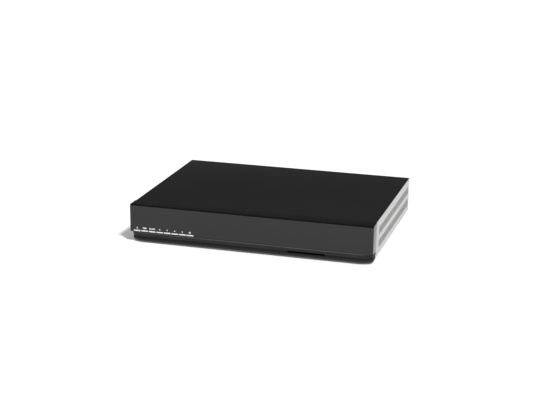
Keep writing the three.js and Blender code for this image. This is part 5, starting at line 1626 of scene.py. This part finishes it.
for i in (1, 2, 3, 4):
    disk_fixing = screw(f"disk_fixing_{i}", f"disk_screw_{i}", zinc_plate, "z", -1)
    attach(disk_fixing, "casing")
    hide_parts(f"disk_screw_{i}")

# Smart-card reader: a black moulded slide on the tray's floor, below a perforated plate of tinplate. Its
# flared mouth stands right behind the card slot of the plinth.
card_slot_z = 9.2 * mm
card_slot_height = 2.4 * mm
card_slot_inset = 3 * mm
reader_flare = 0.8 * mm
reader_plate = 0.5 * mm
plate_setback = 4 * mm
plate_corner = 2 * mm
vent_size = (4 * mm, 2 * mm)
vent_pitch = (6.5 * mm, 9 * mm)


def slot_outline(spread, radius):
    """The outline of the card slot, wider all round by the spread."""
    left, right = reader_low.x + card_slot_inset - spread, reader_high.x - card_slot_inset + spread
    half = card_slot_height / 2 + spread
    return rounded(left, right, card_slot_z - half, card_slot_z + half, radius)


middle = (reader_low + reader_high) / 2
slide = block("slide", reader_low, (reader_high.x, reader_high.y, reader_high.z - reader_plate), 2 * fit)
slide_rear = reader_high.y - (reader_high.z - reader_low.z)
slide_ways = [
    run("slide_way", slot_outline(spread, card_slot_height / 3), "y", reader_low.y - overrun, end)
    for spread, end in ((0, slide_rear), (reader_flare, reader_low.y + reader_flare))
]
cut_away(slide, *slide_ways, crossing=True)
plate_sides = (
    reader_low.x + 2 * fit, reader_high.x - 2 * fit, reader_low.y + plate_setback, reader_high.y - 2 * fit
)
plate_foot = reader_high.z - reader_plate - fit
reader_cover = run("reader_cover", rounded(*plate_sides, plate_corner), "z", plate_foot, reader_high.z)
vents = []
for row in range(3):
    for column in range(7):
        x = middle.x + (column - 3) * vent_pitch[0]
        y = middle.y + (row - 1) * vent_pitch[1]
        half_x, half_y = vent_size[0] / 2, vent_size[1] / 2
        outline = rounded(x - half_x, x + half_x, y - half_y, y + half_y, 0.9 * half_y, 4)
        vents.append(run("vent", outline, "z", reader_high.z - 2 * reader_plate, reader_high.z + overrun))
cut_away(reader_cover, *vents)
coated(moulded_black, slide)
coated(bright_tin, reader_cover)
card_slide = welded("card_slide", slide, reader_cover)
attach(card_slide, "casing")
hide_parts("smart_card_reader")

# Leads: bundles of thin sleeved wires, twisted together and gathered by ties. They join the disk, the front
# board, the power board and the fan to their headers on the main board.
wire_twist = 90
tie_width = 1.6 * mm
tie_thickness = 0.35 * mm
plug_gap = 0.3 * mm
lead_rise = 14 * mm
header_top = board_top + header_high + plug_gap
lead_top = header_top + lead_rise
lead_radius = 2.2 * mm
fan_lead_radius = 1.2 * mm
upright_header_inset = 16 * mm
upright_header_z = 34 * mm
grey_sleeve = grained("grey sleeve", (0.2, 0.2, 0.2), (0.26, 0.26, 0.26), 90, 1500, 0.4, 0.55, 0.01)
dark_sleeve = grained("dark sleeve", (0.02, 0.02, 0.022), (0.03, 0.03, 0.032), 90, 1500, 0.4, 0.55, 0.01)
red_sleeve = grained("red sleeve", (0.36, 0.02, 0.015), (0.44, 0.03, 0.02), 90, 1500, 0.4, 0.55, 0.01)


def along_route(points, steps=10):
    """Places on a smooth line through the points, closer together where the points are."""
    points = [Vector(point) for point in points]
    padded = [2 * points[0] - points[1], *points, 2 * points[-1] - points[-2]]
    places = []
    for before, start, end, after in zip(padded, padded[1:], padded[2:], padded[3:]):
        first = math.sqrt((start - before).length)
        second = math.sqrt((end - start).length)
        third = math.sqrt((after - end).length)
        leave = (start - before) / first - (end - before) / (first + second) + (end - start) / second
        reach = (end - start) / second - (after - start) / (second + third) + (after - end) / third
        for i in range(steps):
            t = i / steps
            place = start * (2 * t**3 - 3 * t**2 + 1) + leave * second * (t**3 - 2 * t**2 + t)
            places.append(place + end * (3 * t**2 - 2 * t**3) + reach * second * (t**3 - t**2))
    return [*places, points[-1]]


def bundle(name, node, points, radius, sleeves):
    """A lead of twisted wires along a route, one wire for each sleeve, with two ties."""
    places = along_route(points)
    ways = [(b - a).normalized() for a, b in zip(places, places[1:])]
    ways = [ways[0], *[(a + b).normalized() for a, b in zip(ways, ways[1:])], ways[-1]]
    places[0] = places[0] - ways[0] * plug_gap
    places[-1] = places[-1] + ways[-1] * plug_gap
    side = ways[0].orthogonal().normalized()
    frames = []
    length = 0
    for i, (place, way) in enumerate(zip(places, ways)):
        side = (side - way * side.dot(way)).normalized()
        length += (place - places[i - 1]).length if i else 0
        frames.append((place, side, way.cross(side), length * wire_twist))
    share = math.sin(math.pi / len(sleeves))
    wire_radius = (radius - tie_thickness) * share / (1 + share)
    offset = radius - tie_thickness - wire_radius
    parts = []
    for i, sleeve in enumerate(sleeves):
        rings = []
        for place, side, up, twist in frames:
            turn = twist + 2 * math.pi * i / len(sleeves)
            centre = place + (side * math.cos(turn) + up * math.sin(turn)) * offset
            rings.append([centre + (side * u + up * v) * wire_radius for u, v in circle(0, 0, 1, 10)])
        parts.append(coated(sleeve, skinned("wire", rings)))
    for share in (0.3, 0.72):
        place, side, up, twist = frames[int(len(frames) * share)]
        rings = []
        for along, reach in ((-1, -1), (-1, 0), (1, 0), (1, -1)):
            centre = place + side.cross(up) * along * tie_width / 2
            around = radius + reach * tie_thickness
            rings.append([centre + (side * u + up * v) * around for u, v in circle(0, 0, 1)])
        parts.append(coated(dark_sleeve, skinned("tie", rings, True)))
    made = welded(name, *parts)
    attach(made, "casing")
    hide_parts(node)


x, y = disk_header
plug_x, plug_y, plug_z = disk_middle.x, disk_high.y + plug_gap, disk_low.z + disk_plug.z / 2
channel_x = (disk_high.x + board_low.x) / 2
route = [
    (plug_x, plug_y, plug_z),
    (plug_x, plug_y + lead_radius, plug_z),
    (plug_x + header_deep, plug_y + header_deep, plug_z),
    (channel_x - header_deep, plug_y + header_deep, plug_z),
    (channel_x, plug_y, plug_z),
    (channel_x, y + header_long, plug_z + lead_radius),
    ((channel_x + x) / 2, y, lead_top),
    (x, y, lead_top),
    (x, y, header_top),
]
bundle("disk_wires", "disk_lead", route, lead_radius, (grey_sleeve, dark_sleeve, grey_sleeve, red_sleeve))
front_board_low, front_board_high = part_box("front_board")
upright_header_x = board_low.x + upright_header_inset
start_y = front_board_high.y + plug_gap
x, y = front_header
route = [
    (upright_header_x, start_y, upright_header_z),
    (upright_header_x, start_y + header_long, upright_header_z),
    ((upright_header_x + x) / 2, (start_y + y) / 2, upright_header_z),
    (x, y - header_deep, upright_header_z),
    (x, y, upright_header_z - header_deep),
    (x, y, header_top),
]
bundle(
    "front_wires", "front_lead", route, lead_radius, (grey_sleeve, grey_sleeve, grey_sleeve, dark_sleeve)
)
(from_x, from_y), (x, y) = harness_header, power_header
route = [
    (from_x, from_y, header_top),
    (from_x, from_y, header_top + header_deep),
    ((3 * from_x + x) / 4, (from_y + y) / 2, lead_top),
    ((from_x + 3 * x) / 4, (from_y + y) / 2, lead_top),
    (x, y, header_top + header_deep),
    (x, y, header_top),
]
bundle(
    "power_wires", "power_harness", route, lead_radius, (red_sleeve, dark_sleeve, red_sleeve, dark_sleeve)
)
x, y = fan_header
fan_wire_x, fan_wire_z = fan_centre.x + fan_hole_reach, fan_centre.z + fan_hole_reach
route = [
    (fan_wire_x, fan_low.y - plug_gap, fan_wire_z),
    (fan_wire_x, fan_low.y - header_deep, fan_wire_z),
    ((fan_wire_x + x) / 2, fan_low.y - header_long, fan_wire_z),
    (x, y + header_long, lead_top + header_deep),
    (x, y, lead_top - header_deep),
    (x, y, header_top),
]
bundle("fan_wires", "fan_lead", route, fan_lead_radius, (red_sleeve, dark_sleeve, grey_sleeve))

# Rear panel: a silver sheet that closes the tray behind, screwed through the lid's flange.
# It is punched for each socket, the rocker and the screws, and slotted in front of the fan.
panel_corner = 1 * mm
aerial_hole = 5 * mm
phono_hole = 4.4 * mm
grille_radius = 18 * mm
grille_slot = 3 * mm
grille_pitch = 4.6 * mm
screw_hole = 1.6 * mm
outlines = []
for name in ("optical_socket", "hdmi_socket", "usb_socket", "ethernet_socket", "mains_inlet"):
    outlines.append(face_outline(*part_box(name), fit, 2 * fit))
outlines.append(
    face_outline(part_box("scart_socket_lower")[0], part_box("scart_socket_upper")[1], fit, 2 * fit)
)
for side in (-1, 1):
    outlines.append(circle(tuner_middle.x + side * aerial_spacing / 2, tuner_middle.z, aerial_hole, 48))
outlines += [circle(centre.x, centre.z, phono_hole, 48) for centre in phono_centres]
outlines.append(face_outline(housing_low, housing_high, fit - flange_margin, 2 * fit))
rows = int(grille_radius / grille_pitch)
for row in range(-rows, rows + 1):
    foot = fan_centre.z + row * grille_pitch - grille_slot / 2
    reach = math.sqrt(grille_radius**2 - (row * grille_pitch) ** 2)
    sides = (fan_centre.x - reach, fan_centre.x + reach, foot, foot + grille_slot)
    outlines.append(rounded(*sides, grille_slot / 2 - fit / 4))
cover_places = [box_of(f"cover_screw_{side}")[2] for side in ("left", "centre", "right")]
for place in [box_of("fan_screw_1")[2], box_of("fan_screw_2")[2], *cover_places]:
    outlines.append(circle(place.x, place.z, screw_hole))
panel = run(
    "back_panel", face_outline(panel_low, panel_high, 0, panel_corner), "y", panel_low.y, panel_high.y
)
cut_away(
    panel,
    *[run("punch", outline, "y", panel_low.y - overrun, panel_high.y + overrun) for outline in outlines],
)
panel.data.materials.append(silver_paint)
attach(panel, "casing")
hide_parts("rear_panel")
for i in (1, 2):
    fan_fixing = screw(f"fan_fixing_{i}", f"fan_screw_{i}", zinc_plate, "y")
    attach(fan_fixing, "casing")
    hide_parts(f"fan_screw_{i}")

# Plinth: a matt black moulding that carries the fascia, rounded in plan at both ends. Its round top edge has
# a lighter finish as a painted highlight, a shallow coarse groove runs round it at the card slot in a darker
# finish as painted shade, and it is hollow.
plinth_low, plinth_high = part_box("plinth")
plinth_corner_length = 22 * mm
plinth_corner_depth = 13 * mm
plinth_undercut = 0.6 * mm
plinth_undercut_height = 7 * mm
plinth_wall = 2.2 * mm
plinth_face = 3.2 * mm
plinth_spread = 0.7 * mm
plinth_profile = (
    (1.3, 2.9), (0.8, 3.2), (0.5, 3.9), (0.35, 5), (0.35, 6.4), (0.7, 7.2), (0.7, 9.4), (0.2, 10)
)
plinth_profile += ((0, 10.6), (0, 15.2), (0.15, 15.8), (0.5, 16.3), (1.2, 16.6))
groove_low = 6.2 * mm
groove_high = 10 * mm
highlight_low = 15.3 * mm
mouth_step = 0.7 * mm
matt_plastic = grained(
    "matt plastic",
    (0.017, 0.017, 0.0175),
    (0.021, 0.021, 0.0215),
    25,
    2200,
    0.5,
    0.68,
    0.03,
    Specular_IOR_Level=0.25,
)
# A rougher finish for the groove band, whose darker colour is painted shade.
coarse_plastic_painted_shade = grained(
    "coarse plastic",
    (0.0115, 0.0115, 0.0118),
    (0.014, 0.014, 0.0143),
    25,
    1500,
    0.62,
    0.8,
    0.05,
    Specular_IOR_Level=0.16,
)
# A lighter, glossier finish for the round top edge: a painted highlight.
painted_highlight_edge = grained(
    "worn edge", (0.06, 0.06, 0.0605), (0.068, 0.068, 0.0685), 25, 2200, 0.45, 0.55, 0.01,
    Specular_IOR_Level=0.6,
)


def plinth_ring(inset, z, face=0, spread=0):
    """The plinth's outline at a height, drawn in by the inset. face and spread set it out again, face at
    the front and spread at the ends."""
    left = plinth_low.x + inset - spread
    right = plinth_high.x - inset + spread
    front = plinth_low.y + inset - face
    turns = [math.pi / 2 * i / 16 for i in range(17)]
    long, deep = plinth_corner_length - inset, plinth_corner_depth - inset
    quarter = [(long * (1 - math.cos(turn)), deep * (1 - math.sin(turn))) for turn in turns]
    left_side = [(left + x, front + y, z) for x, y in quarter]
    right_side = [(right - x, front + y, z) for x, y in reversed(quarter)]
    return [(left, plinth_high.y, z), *left_side, *right_side, (right, plinth_high.y, z)]


rings = [plinth_ring(inset * mm, z * mm, plinth_face, plinth_spread) for inset, z in plinth_profile]
moulding = skinned("plinth_moulding", rings)
wide_wall = plinth_undercut + plinth_wall
hollow_top = plinth_high.z - plinth_wall
rings = [plinth_ring(wide_wall, plinth_low.z - overrun), plinth_ring(wide_wall, plinth_low.z)]
rings += [
    plinth_ring(plinth_wall, plinth_low.z + plinth_undercut_height), plinth_ring(plinth_wall, hollow_top)
]
hollow = skinned("hollow", rings)
sides = (
    plinth_low.x + wide_wall,
    plinth_high.x - wide_wall,
    plinth_high.y - plinth_wall,
    plinth_high.y + overrun,
)
opening = run("opening", rounded(*sides, fit), "z", plinth_low.z - overrun, hollow_top)
front = plinth_low.y - plinth_face
card_slot = run("card_slot", slot_outline(0, card_slot_height / 3), "y", front - overrun, plinth_high.y)
outline = slot_outline(mouth_step, card_slot_height / 2)
card_mouth = run("card_mouth", outline, "y", front - overrun, front + 2 * mouth_step)
cut_away(moulding, hollow, opening, card_slot, card_mouth, crossing=True)
coated(matt_plastic, moulding)
moulding.data.materials.append(coarse_plastic_painted_shade)
moulding.data.materials.append(painted_highlight_edge)
# Faces in the groove band get the darker finish, painted shade; faces of the top edge get the lighter one, a
# painted highlight.
for face in moulding.data.polygons:
    if groove_low < face.center.z < groove_high:
        face.material_index = 1
    elif face.center.z > highlight_low and face.normal.z < 0.9:
        face.material_index = 2
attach(moulding, "casing")
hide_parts("plinth")

# Front board: upright green laminate behind the fascia with eight press switches, one behind the stem of
# each button, and the header of its lead on the back.
switch_size = 6 * mm
switch_depth = 4 * mm
switch_plunger = 1.5 * mm
switch_plate = 0.5 * mm
button_height = 2.4 * mm
bar_height = 1.75 * mm
bar_foot = 0.3 * mm
stem_width = 3 * mm
buttons = ("standby", "menu", "guide", "left", "down", "up", "right", "ok")
upright_lacquer = board_finish("upright lacquer", (0.012, 0.085, 0.035), (0.03, 0.16, 0.065), 900, 70, 1)
sheet_rear = front_board_high.y - header_deep
sheet_front = sheet_rear - board_thickness
outline = face_outline(front_board_low, front_board_high, 0, board_corner)
front_parts = [coated(upright_lacquer, run("upright_sheet", outline, "y", sheet_front, sheet_rear))]
shell_front = sheet_front - switch_depth
base = front_board_low.z + fit
plunger_end = front_board_low.y - sheet_front
profile = [(0, 0), (switch_plunger, 0), (switch_plunger, plunger_end + fit)]
profile += [(switch_plunger - fit, plunger_end), (0, plunger_end)]
for name in buttons:
    low, high, middle = box_of(f"button_{name}")
    left, right = middle.x - switch_size / 2, middle.x + switch_size / 2
    shell_low = (left, shell_front + switch_plate, base)
    shell = block("switch", shell_low, (right, sheet_front, base + switch_size), fit)
    plate_high = (right - fit, shell_front + 2 * switch_plate, base + switch_size - fit)
    plate = block("plate", (left + fit, shell_front, base + fit), plate_high, fit / 2)
    plunger_place = (middle.x, sheet_front, low.z + button_height + stem_width / 4)
    plunger = turned("plunger", profile, plunger_place, "y")
    coated(moulded_black, shell, plunger)
    front_parts += [shell, coated(bright_tin, plate), plunger]
upright_header = header(0, 0, header_long, header_deep, 0)
upright_header.data.transform(Matrix.Scale(header_deep / header_high, 4, (0, 0, 1)))
upright_header.data.transform(Matrix.Rotation(math.radians(-90), 4, "X"))
upright_header.data.transform(Matrix.Translation((upright_header_x, sheet_rear, upright_header_z)))
front_circuit_board = welded("front_circuit_board", *front_parts, upright_header)
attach(front_circuit_board, "casing")
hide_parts("front_board")

# Status display: a smoked glass window in a black frame, soldered to the front board by two rows of pins.
# It stays dark behind the gloss fascia until it is lit.
display_frame = 1.6 * mm
display_body = 6 * mm
display_sink = 0.6 * mm
display_pins = 14
smoked_glass = grained(
    "smoked glass", (0.006, 0.007, 0.009), (0.009, 0.01, 0.013), 60, 300, 0.03, 0.07, 0.0008, Coat_Weight=1
)


def pin(x, z, start, end):
    """A square pin along Y, behind a piece on the front board."""
    half = leg_width / 2
    return coated(bright_tin, block("pin", (x - half, start, z - half), (x + half, end, z + half)))


low, high, middle = box_of("status_display")
display_shell = block("display_shell", low, (high.x, low.y + display_body, high.z), 2 * fit)
left, right = low.x + display_frame, high.x - display_frame
foot, top = low.z + display_frame, high.z - display_frame
window_high = (right, low.y + 2 * display_sink, top)
cut_away(display_shell, block("window", (left, low.y - overrun, foot), window_high))
pane_high = (right + fit, low.y + 2 * display_sink + fit, top + fit)
pane = block("pane", (left - fit, low.y + display_sink, foot - fit), pane_high)
display_parts = [coated(moulded_black, display_shell), coated(smoked_glass, pane)]
for z in (foot, top):
    for i in range(display_pins):
        x = middle.x + (i - (display_pins - 1) / 2) * 2 * leg_pitch
        display_parts.append(pin(x, z, low.y + display_body - fit, high.y))
display = welded("display", *display_parts)
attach(display, "casing")
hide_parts("status_display")

# Infrared receiver: a dark epoxy block with a domed lens that looks through the fascia, on three legs.
eye_radius = 2 * mm
eye_leg_pitch = 1.8 * leg_pitch
low, high, middle = box_of("infrared_receiver")
eye_block = block(
    "eye_block", (low.x, low.y + eye_radius, low.z), (high.x, high.y - overrun, high.z), 2 * fit
)
profile = [(0, -eye_radius), *arc(0, 0, eye_radius, -75, 0, 5), (eye_radius, 2 * fit), (0, 2 * fit)]
eye = turned("eye", profile, (middle.x, low.y + eye_radius, middle.z), "y", 28)
coated(dark_lens, eye_block, eye)
legs = [pin(middle.x + i * eye_leg_pitch, middle.z, high.y - 2 * overrun, high.y) for i in (-1, 0, 1)]
receiver_eye = welded("receiver_eye", eye_block, eye, *legs)
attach(receiver_eye, "casing")
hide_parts("infrared_receiver")

# Fascia: a gloss black moulded shell, round along its top edge and at its ends, open behind.
# Its lower edge is notched for the eight buttons, and three hooks hold it to the tray.
fascia_low, fascia_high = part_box("fascia")
fascia_rear = tray_low.y - fit
fascia_top_radius = 2.4 * mm
fascia_foot_radius = 0.12 * mm
fascia_end_radius = 1.2 * mm
fascia_wall = 2.5 * mm
fascia_floor = 1.6 * mm
fascia_post_radius = 2.6 * mm
fascia_post_places = (-180.3 * mm, -59.05 * mm, 55 * mm)
hook_width = 12 * mm
hook_thickness = 1.6 * mm
hook_inset = 32 * mm
notch_depth = 12 * mm
notch_corner = 0.3 * mm
gloss_plastic = grained(
    "gloss plastic",
    (0.004, 0.004, 0.0043),
    (0.005, 0.005, 0.0053),
    8,
    180,
    0.03,
    0.06,
    0.0008,
    Specular_IOR_Level=0.5,
)


def fascia_ring(x, inset):
    """The fascia's profile at a place along its length, drawn in by the inset."""
    top = fascia_high.z - inset
    foot = fascia_low.z + inset
    front = fascia_low.y + inset
    round_top = max(fascia_top_radius - inset, 0)
    round_foot = max(fascia_foot_radius - inset, 0)
    lower = arc(front + round_foot, foot + round_foot, round_foot, 270, 180, 5)
    upper = arc(front + round_top, top - round_top, round_top, 180, 90, 8)
    return [(x, y, z) for y, z in [(fascia_rear, foot), *lower, *upper, (fascia_rear, top)]]


left_end = []
right_end = []
for i in range(6):
    turn = math.pi / 2 * i / 5
    inset = fascia_end_radius * (1 - math.sin(turn))
    along = fascia_end_radius * (1 - math.cos(turn))
    left_end.append(fascia_ring(fascia_low.x + along, inset))
    right_end.insert(0, fascia_ring(fascia_high.x - along, inset))
shell = skinned("fascia_shell", left_end + right_end)
inner_front = fascia_low.y + fascia_wall
inner_top = fascia_high.z - fascia_wall
sides = (fascia_low.x + fascia_wall, fascia_high.x - fascia_wall, fascia_low.z + fascia_floor, inner_top)
cut_away(
    shell, run("room_behind", rounded(*sides, fascia_floor / 2), "y", inner_front, fascia_rear + overrun)
)
notches = []
for name in buttons:
    low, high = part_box(f"button_{name}")
    top = low.z + bar_foot + bar_height + fit
    outline = rounded(low.x - fit, high.x + fit, fascia_low.z - overrun, top, notch_corner)
    notches.append(run("notch", outline, "y", fascia_low.y - overrun, fascia_low.y + notch_depth))
cut_away(shell, *notches)
hooks = []
for x in (hook_inset - fascia_high.x, 0, fascia_high.x - hook_inset):
    outline = rounded(x - hook_width / 2, x + hook_width / 2, inner_top - hook_thickness, inner_top, fit)
    hooks.append(run("hook", outline, "y", inner_front, fascia_high.y))
post_front = fascia_low.y + fascia_wall / 2
profile = square(0, fascia_post_radius, 0, sheet_front - fit - post_front)
post_z = front_board_high.z - post_inset
fascia_posts = [turned("post", profile, (x, post_front, post_z), "y") for x in fascia_post_places]
shell = welded("fascia_shell", shell, *hooks, *fascia_posts)
shell.data.materials.append(gloss_plastic)
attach(shell, "casing")
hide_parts("fascia")

# Buttons: eight white bars moulded with a flange that keeps each behind the fascia, and a stem that
# presses its switch. Above each a small plain sign is printed in white on the fascia.
button_edge = 0.45 * mm
flange_setback = 2.7 * mm
flange_thickness = 1.2 * mm
flange_height = 4.6 * mm
sign_z = 23.2 * mm
sign_size = 1.2 * mm
sign_line = 0.5 * mm
arrow_size = 1.45 * mm
ring_gap = 38
grid_gap = 0.4 * mm
grids = {"menu": (1, 3, 5.8 * mm, 0.6 * mm), "guide": (5, 2, 1.6 * mm, 0.9 * mm)}
print_thickness = 0.02 * mm
white_plastic = grained("white plastic", (0.88, 0.88, 0.87), (0.9, 0.9, 0.89), 200, 2500, 0.28, 0.38, 0.004)
white_ink = grained("white ink", (0.86, 0.86, 0.86), (0.9, 0.9, 0.9), 900, 6000, 0.4, 0.6, 0.002)


def sign_outlines(name, x, z):
    """The outlines of a button's sign round its centre."""
    if name in ("left", "right", "up", "down"):
        turn = {"right": 0, "up": 90, "left": 180, "down": 270}[name]
        return [arc(x, z, arrow_size, turn, turn + 240, 2)]
    if name == "ok":
        return [arc(x, z, arrow_size, 90.5, 449.5, 32) + arc(x, z, sign_line, 449.5, 90.5, 32)]
    if name == "standby":
        start, end = 90 + ring_gap, 450 - ring_gap
        ring = arc(x, z, sign_size, start, end, 24) + arc(x, z, sign_size - sign_line, end, start, 24)
        return [ring, cell(x, z + 0.65 * sign_size, sign_line, sign_size)]
    columns, rows, wide, tall = grids[name]
    cells = []
    for column in range(columns):
        for row in range(rows):
            cell_x = x + (column - (columns - 1) / 2) * (wide + grid_gap)
            cell_z = z + (row - (rows - 1) / 2) * (2 * sign_size / rows + grid_gap / 4)
            cells.append(cell(cell_x, cell_z, wide, tall))
    return cells


flange_front = fascia_low.y + flange_setback
signs = []
for name in buttons:
    low, high, middle = box_of(f"button_{name}")
    outline = square(low.x, high.x, low.z + bar_foot, low.z + bar_foot + bar_height)
    face = softened(run("face", outline, "y", low.y, flange_front), button_edge, 4)
    outline = square(low.x, high.x, low.z, low.z + flange_height)
    flange = softened(
        run("flange", outline, "y", flange_front, flange_front + flange_thickness), button_edge / 3
    )
    left, right = middle.x - stem_width / 2, middle.x + stem_width / 2
    outline = rounded(left, right, low.z + button_height, low.z + flange_height - fit, fit)
    bar = welded(f"bar_{name}", face, flange, run("stem", outline, "y", flange_front, high.y))
    bar.data.materials.append(white_plastic)
    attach(bar, f"{name}_button")
    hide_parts(f"button_{name}")
    for outline in sign_outlines(name, middle.x, sign_z):
        signs.append(
            run("sign", outline, "y", fascia_low.y - print_thickness, fascia_low.y + print_thickness)
        )
printed_signs = welded("printed_signs", *signs)
printed_signs.data.materials.append(white_ink)
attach(printed_signs, "casing")

# Lid: one black powder-coated sheet, folded down behind over the rear panel and inside both walls.
# It is set on from above and held by three black screws through its rear fold.
lid_low, lid_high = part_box("top_cover")
lid_fold_radius = 1.4 * mm
lid_edge = 0.3 * mm
lid_side_gap = 1.2 * mm
powder_coat = grained(
    "powder coat",
    (0.0142, 0.0142, 0.0145),
    (0.0153, 0.0153, 0.0156),
    12,
    1900,
    0.5,
    0.62,
    0.02,
    Specular_IOR_Level=0.12,
)
under = lid_high.z - gauge
fold = (lid_high.y - lid_fold_radius, lid_high.z - lid_fold_radius)
outline = [
    (lid_low.y, under),
    (lid_low.y, lid_high.z),
    *arc(*fold, lid_fold_radius, 90, 0),
    (lid_high.y, lid_low.z),
]
outline += [(lid_high.y - gauge, lid_low.z), *arc(*fold, lid_fold_radius - gauge, 0, 90)]
top_sheet = softened(run("top_sheet", outline, "x", lid_low.x, lid_high.x), lid_edge, 3)
hole_ends = (lid_high.y - gauge - overrun, lid_high.y + overrun)
cut_away(
    top_sheet,
    *[run("hole", circle(place.x, place.z, screw_hole), "y", *hole_ends) for place in cover_places],
)
outline = rounded(lid_low.y + lid_side_gap, panel_low.y - lid_side_gap, lid_low.z, under, gauge)
outer, inner = inner_right - fit, inner_right - fit - gauge
side_folds = [
    run("side_fold", outline, "x", start, end) for start, end in ((-outer, -inner), (inner, outer))
]
lid = welded("lid", top_sheet, *side_folds)
lid.data.materials.append(powder_coat)
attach(lid, "casing")
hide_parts("top_cover")
for side in ("left", "centre", "right"):
    cover_fixing = screw(f"cover_fixing_{side}", f"cover_screw_{side}", powder_coat, "y")
    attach(cover_fixing, "casing")
    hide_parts(f"cover_screw_{side}")
